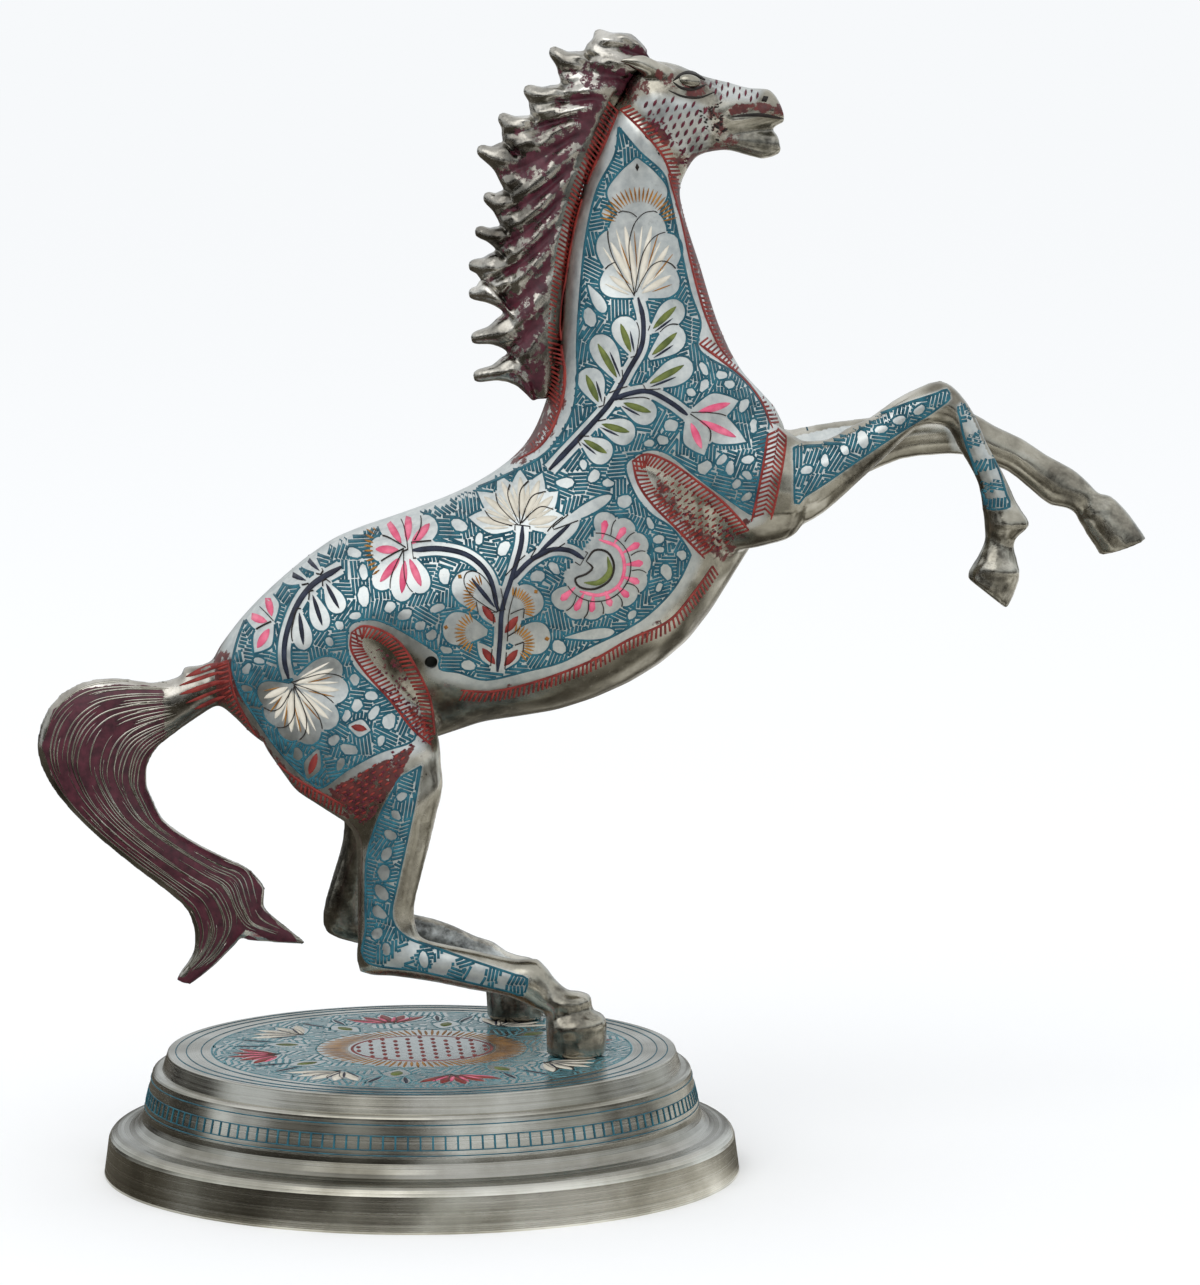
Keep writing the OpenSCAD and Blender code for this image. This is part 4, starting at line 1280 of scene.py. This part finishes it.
# %% [markdown]
# The tail is a flat plume that grows out of the skin at the dock. Its number for the lac is low
# along its edge and at the dock, where the file has run over it.

# %% Tail
TAIL = [
    ((-60, 86.5), (-56.5, 74.5)), ((-71.5, 87.3), (-61.5, 70.5)), ((-80.5, 86), (-63.5, 67.5)),
    ((-87.5, 80.5), (-64, 64.5)), ((-90.5, 71.5), (-64, 61)), ((-88, 63), (-62.5, 57.5)),
    ((-82.5, 55.5), (-60.5, 53.5)), ((-75.5, 48.5), (-57, 50.5)), ((-66.5, 41), (-52, 47.5)),
    ((-59.5, 35.5), (-45.5, 44)), ((-55, 31), (-40, 41.5)),
]
LOW_POINT = [((-53.5, 26), (-43, 29)), ((-54, 21), (-47, 21.5)), ((-56.5, 17), (-52.5, 17))]
SIDE_POINT = [((-45, 31), (-38, 35)), ((-41.5, 27), (-37, 30.5)), ((-34, 25), (-33, 27))]
RIMS = [
    ([pair[0] for pair in TAIL] + [pair[0] for pair in LOW_POINT], 1.9),
    ([pair[1] for pair in TAIL] + [(-36.5, 37), (-37, 32.5), (-33.5, 29), (-27, 23.5)], 1.1),
    ([(-52, 15), (-46, 20.7), (-41, 26.5), (-36, 23.5), (-27.5, 22.8)], 1.0),
]
RIM_FADE = 0.8
DOCK_AT = (-62, 70)
DOCK_FADE = 4
tail = skins.pop("tail")
flat = to_flat(coordinates(tail))
rim = np.max([np.clip((width - distance_to_path(flat, edge_line)) / RIM_FADE, 0, 1)
              for edge_line, width in RIMS], axis=0)
dock = np.clip((flat[:, 0] - DOCK_AT[0]) / DOCK_FADE, 0, 1) * (flat[:, 1] > DOCK_AT[1])
store(tail, "lac", 0.95 - 0.9 * np.maximum(rim, dock))
print(tail.name, len(tail.data.polygons), "faces")

# %% [markdown]
# The drawing now goes onto the metal. Each colour is a curve object whose splines carry the width
# of every cut as their radius, with a flat line as the bevel. Turned into a mesh, it is stood
# beside the horse, thrown onto the skin with a Shrinkwrap modifier, trimmed where the skin turns
# away, and thickened inwards so that the lac sits in the metal. Each colour lies a hair higher than
# the one before, so that crossing cuts stay apart.

# %% Lay the cuts on the metal
LIFT = 0.08
LAYER = 0.015
TOP_LIFT = 0.25
DEPTH = 0.32
START = 90
MISSED = 1
STEEP = 0.22


def drawn(name, paths):
    drawing = bpy.data.curves.new(name, "CURVE")
    for path in paths:
        spline = drawing.splines.new("POLY")
        spline.points.add(len(path) - 1)
        for point, (x, z, half) in zip(spline.points, path):
            point.co = (x, z, 0, 1)
            point.radius = half
    return linked(name, drawing)


def ribbons(name, paths):
    piece = drawn(name, [[[v * MM for v in spot] for spot in path] for path in paths])
    piece.data.dimensions = "3D"
    piece.data.twist_mode = "Z_UP"
    piece.data.bevel_mode = "OBJECT"
    piece.data.bevel_object = graver
    only(piece)
    bpy.ops.object.convert(target="MESH")
    return piece


def trimmed(piece, hand, start):
    for face in piece.data.polygons:
        missed = any(abs(piece.data.vertices[v].co.y - start) < MISSED * MM for v in face.vertices)
        face.select = missed or abs(face.normal.y) < STEEP
    only(piece)
    bpy.ops.object.mode_set(mode="EDIT")
    bpy.ops.mesh.select_mode(type="FACE")
    bpy.ops.mesh.delete(type="FACE")
    bpy.ops.mesh.select_all(action="SELECT")
    bpy.ops.mesh.delete_loose(use_verts=True, use_edges=True, use_faces=False)
    bpy.ops.mesh.select_all(action="SELECT")
    if np.mean([face.normal.y for face in piece.data.polygons]) * hand < 0:
        bpy.ops.mesh.flip_normals()
    bpy.ops.object.mode_set(mode="OBJECT")


def laid_on(piece, side, target, lift):
    x, z, _ = coordinates(piece).T
    if side == "top":
        level = np.full(len(x), (PLINTH_TOP + TOP_LIFT * lift) * MM)
        put_back(piece, np.stack([x, z, level], axis=1))
    else:
        hand = SIDES[side]
        away = np.full(len(x), (FIGURE_Y + hand * START) * MM)
        put_back(piece, np.stack([x, away, z + PLINTH_TOP * MM], axis=1))
        modified(piece, "SHRINKWRAP", target=target, wrap_method="PROJECT", use_project_y=True,
                 use_positive_direction=hand < 0, use_negative_direction=hand > 0,
                 wrap_mode="ABOVE_SURFACE", offset=lift * MM)
        trimmed(piece, hand, away[0])
    return modified(piece, "SOLIDIFY", thickness=DEPTH * MM, offset=-1)


graver = drawn("graver", [[(-1, 0, 1), (1, 0, 1)]])
only(pattern_form, linked("mane_form", mane.data.copy()))
bpy.ops.object.join()
engraving = []
for layer, name in enumerate(LAC):
    for side in ("right", "left", "top"):
        wanted = (side,) if side == "top" else ("both", side)
        paths = [path for tint, sides, path in cuts if tint == name and sides in wanted]
        if paths:
            piece = ribbons("cuts_" + name + "_" + side, paths)
            laid_on(piece, side, pattern_form, LIFT + LAYER * layer)
            piece.data.materials.append(lacs[name])
            engraving.append(piece)
            print(piece.name, len(paths), "cuts,", len(piece.data.polygons), "faces")

# %% [markdown]
# Bright hairs are scratched through the lac of the tail, from the dock to the two points. Each
# runs at its own share of the width, and breaks off and starts again here and there.

# %% Tail hairs
HAIRS = 25
HAIR_W = 0.36
HAIR_STEP = 1.2
FORK = 0.55
SWAY = 0.6
hairs = []
for k in range(HAIRS):
    share = 0.07 + 0.86 * k / (HAIRS - 1)
    line = [Vector(a).lerp(Vector(b), share) for a, b in TAIL]
    if share > FORK:
        line += [Vector(a).lerp(Vector(b), (share - 0.5) * 2) for a, b in SIDE_POINT]
    else:
        line += [Vector(a).lerp(Vector(b), share * 1.7) for a, b in LOW_POINT]
    line = flowing(line, HAIR_STEP)
    while len(line) > 6:
        count = random.randint(8, 34)
        part, line = line[:count], line[count + random.randint(2, 12):]
        if len(part) > 5:
            sway = random.uniform(-SWAY, SWAY)
            last = len(part) - 1
            hairs.append([(p.x + sway, p.y + sway, HAIR_W / 2 * TAPERS["leaf"](n / last))
                          for n, p in enumerate(part)])
for side in SIDES:
    piece = laid_on(ribbons("tail_hair_" + side, hairs), side, tail, LIFT)
    piece.data.materials.append(brass)
    engraving.append(piece)
print(len(hairs), "hairs a side")

# %% [markdown]
# The eye is a small flattened ball that sits in the socket pressed for it, between lids cut as
# dark lines.

# %% Eyes
EYE = (63.4, 227.2)
EYE_D = 4.4
EYE_FORM = (1.2, 0.6, 0.7)
EYE_TILT = math.radians(8)
EYE_IN = 0.2
eyes = []
for side, hand in SIDES.items():
    spot = on_skin(*EYE, hand) - Vector((0, hand * EYE_IN * MM, 0))
    bpy.ops.mesh.primitive_uv_sphere_add(
        segments=24, ring_count=12, radius=EYE_D / 2 * MM, location=spot)
    ball = bpy.context.object
    ball.name = "eye_" + side
    ball.scale = EYE_FORM
    ball.rotation_euler = (0, EYE_TILT, 0)
    bpy.ops.object.transform_apply(location=True, rotation=True, scale=True)
    bpy.ops.object.shade_smooth()
    eyes.append(ball)
print(len(eyes), "eyes")

# %% [markdown]
# Fine lines are turned into the plinth round its top and its waist, and filled with teal. Between
# two of them stands a ladder of rungs: one rung is modelled, then spun round the axis.

# %% Plinth lines and ladder
TOP_LINES = [52, 55.5, 58]
SIDE_LINES = [(63.8, 22.6), (64.35, 20.2), (65.1, 17.1), (65.35, 15.9)]
LINE_W = 0.28
RUNGS = 144
RUNG = Vector((0.3, 0.4, 3.2)) * MM
RUNG_AT = Vector((64.72, 0, 18.65)) * MM
upper, lower = SIDE_LINES[1:3]
LEAN = math.atan((lower[0] - upper[0]) / (upper[1] - lower[1]))
rings = []
for radius, height in [*((radius, PLINTH_TOP) for radius in TOP_LINES), *SIDE_LINES]:
    bpy.ops.mesh.primitive_torus_add(
        major_radius=radius * MM, minor_radius=LINE_W / 2 * MM, major_segments=160,
        minor_segments=6, location=(0, 0, height * MM))
    ring = bpy.context.object
    ring.name = "line_" + str(len(rings) + 1)
    bpy.ops.object.transform_apply(location=True, rotation=False, scale=False)
    ring.data.materials.append(lacs["teal"])
    rings.append(ring)
bpy.ops.mesh.primitive_cube_add(size=1, location=RUNG_AT, rotation=(0, -LEAN, 0), scale=RUNG)
ladder = bpy.context.object
ladder.name = "ladder"
bpy.ops.object.transform_apply(location=True, rotation=True, scale=True)
in_edit_mode(ladder, (bpy.ops.mesh.spin, {
    "steps": RUNGS, "dupli": True, "angle": 2 * math.pi, "center": (0, 0, 0), "axis": (0, 0, 1)}))
in_edit_mode(ladder, (bpy.ops.mesh.remove_doubles, {"threshold": MERGE}))
ladder.data.materials.append(lacs["teal"])
print(len(rings), "turned lines,", len(ladder.data.polygons) // 6, "rungs")

# %% [markdown]
# Each finished piece takes the place of its solid, and rides on the one body of the statue.

# %% Hand the pieces over
def finished(piece, material):
    piece.data.materials.clear()
    piece.data.materials.append(material)


def hand_over(piece, material, slot, *names):
    finished(piece, material)
    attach(piece, "root")
    if names:
        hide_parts(*names)


for name, piece in skins.items():
    hand_over(piece, brass, "engraved_brass", name)
hand_over(mane, maroon, "maroon_lacquer", "mane")
hand_over(tail, maroon, "maroon_lacquer", "tail")
for piece in eyes:
    hand_over(piece, brass, "engraved_brass")
for piece in [*engraving, *rings, ladder]:
    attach(piece, "root")
for name in ("hoof_screws", "hoof_washers"):
    finished(nodes[name], plain_steel)
finished(nodes["plinth"], lathe_brass)
bpy.data.objects.remove(graver)
bpy.data.objects.remove(pattern_form)
print("handed over", len(skins) + len(eyes) + 2, "pieces of metal,", len(engraving), "of engraving")

# %% [markdown]
# The photograph is taken in open shade against white. Polished metal shows what stands round it,
# so a grey wall and a dull ground that only reflections see give it its darks. Each takes its
# shade from where a point lies on it: strips and a pale card on the wall, patches on the ground.

# %% What the metal reflects
FLOOR_R = 30
GROUND_R = 1.6
GROUND_Z = 0.0005
WALL_R = 2.2
WALL_H = 1
CARD_AT = (0.1, -WALL_R, -WALL_H / 2)
GLOW_AT = (0.02, -0.1, 0)
ALL_BUT_GLOSSY = ("camera", "diffuse", "shadow", "transmission")


def summed(tree, level, *more):
    for source, share in more:
        level = add(tree, "Math", {"operation": "MULTIPLY_ADD", 1: share}, {0: source, 2: level})
    return level


def near(tree, places, spot, first, last, amount):
    away = add(tree, "VectorMath", {"operation": "DISTANCE", 1: spot}, {0: places})
    limits = {"From Min": first, "From Max": last, "To Min": amount, "To Max": 0}
    return add(tree, "MapRange", limits, {"Value": away})


def wall_tint(tree, places):
    x, y, z = add(tree, "SeparateXYZ", {}, {"Vector": places}).outputs
    upright = add(tree, "VectorMath", {"operation": "MULTIPLY", 1: (1, 1, 0.3)}, {0: places})
    strips = add(tree, "TexNoise", {"Scale": 1.1, "Detail": 2}, {"Vector": upright})
    bold = add(tree, "Math", {"operation": "MULTIPLY_ADD", 1: 2, 2: -0.5}, {0: strips})
    card = near(tree, places, CARD_AT, 0.2, 0.6, 0.5)
    level = summed(tree, bold, (z, 0.5), (y, 0.05), (x, 0.06), (card, 1))
    return add(tree, "ValToRGB", {"stops": [(0.24, "#1E1C1A"), (0.38, "#5F5C57"), (0.48, "#B4B8BA"),
                                            (0.64, "#E8EEF2")]}, {"Fac": level})


def ground_tint(tree, places):
    x = add(tree, "SeparateXYZ", {}, {"Vector": places}).outputs["X"]
    reach = add(tree, "VectorMath", {"operation": "LENGTH"}, {"Vector": places})
    patches = add(tree, "TexNoise", {"Scale": 8, "Detail": 2}, {"Vector": places})
    bold = add(tree, "Math", {"operation": "MULTIPLY_ADD", 1: 2.2, 2: -0.68}, {0: patches})
    glow = near(tree, places, GLOW_AT, 0.04, 0.11, 0.75)
    across = add(tree, "MapRange",
                 {"From Min": -0.12, "From Max": 0.1, "To Min": -0.5, "To Max": 0.1}, {"Value": x})
    level = summed(tree, bold, (reach, 0.35), (glow, 1), (across, 1))
    return add(tree, "ValToRGB",
               {"stops": [(0.42, "#57534B"), (0.6, "#A9A69C"), (0.85, "#F6F5F0")]}, {"Fac": level})


def white_floor(tree, _):
    return add(tree, "BsdfDiffuse", {"Color": colour("#FFFFFF")})


def glowing(tree, places, tint):
    return add(tree, "Emission", {}, {"Color": tint(tree, places)})


def stage_piece(name, hidden_from, recipe, *details):
    piece = bpy.context.object
    piece.name = name
    for ray in hidden_from:
        setattr(piece, "visible_" + ray, False)
    piece.data.materials.append(finish(name, recipe, *details))
    print("staged", name)


# The floor: plain white, so that only a soft shadow tells it from the world.
bpy.ops.mesh.primitive_circle_add(vertices=96, radius=FLOOR_R, fill_type="NGON")
stage_piece("white_floor", (), white_floor)
# The ground and wall: greys that the metal mirrors as its darks and its bright bands.
bpy.ops.mesh.primitive_circle_add(
    vertices=64, radius=GROUND_R, fill_type="NGON", location=(0, 0, GROUND_Z))
stage_piece("dull_ground", ALL_BUT_GLOSSY, glowing, ground_tint)
bpy.ops.mesh.primitive_cylinder_add(
    vertices=64, radius=WALL_R, depth=WALL_H, end_fill_type="NOTHING", location=(0, 0, WALL_H / 2))
stage_piece("grey_wall", ALL_BUT_GLOSSY, glowing, wall_tint)

# %% [markdown]
# The pale floor runs out to the white world, and a broad soft light from above and in front lifts
# the figure off it.

# %% World and light
LAMP_AT = (-0.9, -1.4, 1.9)
LAMP_TO = Vector((0, 0, 0.15))
LAMP_SIZE = 2
LAMP_POWER = 11

world = bpy.data.worlds.new("white_surround")
world.use_nodes = True
world.node_tree.nodes["Background"].inputs["Color"].default_value = colour("#F7F9FB")
world.node_tree.nodes["Background"].inputs["Strength"].default_value = 1
bpy.context.scene.world = world
bpy.ops.object.light_add(type="AREA", location=LAMP_AT)
lamp = bpy.context.object
lamp.name = "soft_key"
lamp.data.shape = "DISK"
lamp.data.size = LAMP_SIZE
lamp.data.energy = LAMP_POWER
lamp.rotation_euler = (LAMP_TO - lamp.location).to_track_quat("-Z", "Y").to_euler()
print("lit by", world.name, "and", lamp.name)

# %% [markdown]
# The camera stands on the horse's right, a little above the middle of the statue and well back,
# as a long lens would, so the plinth shows only a sliver of its top.

# %% Camera
VIEW_FROM = Vector((-0.0488, -1.2998, 0.2663))
VIEW_DOWN = math.radians(6.204)
VIEW_ALONG = Vector((0.0698, 0.9976, 0))
LENS = 156.36
SENSOR = 36
FAR = 100

bpy.ops.object.camera_add(location=VIEW_FROM)
camera = bpy.context.object
camera.name = "camera"
look = VIEW_ALONG * math.cos(VIEW_DOWN) - Vector((0, 0, math.sin(VIEW_DOWN)))
camera.rotation_euler = look.to_track_quat("-Z", "Y").to_euler()
camera.data.lens = LENS
camera.data.sensor_width = SENSOR
camera.data.clip_end = FAR
bpy.context.scene.camera = camera
bpy.context.scene.view_settings.view_transform = "Standard"
print("camera with a lens of", LENS, "mm")
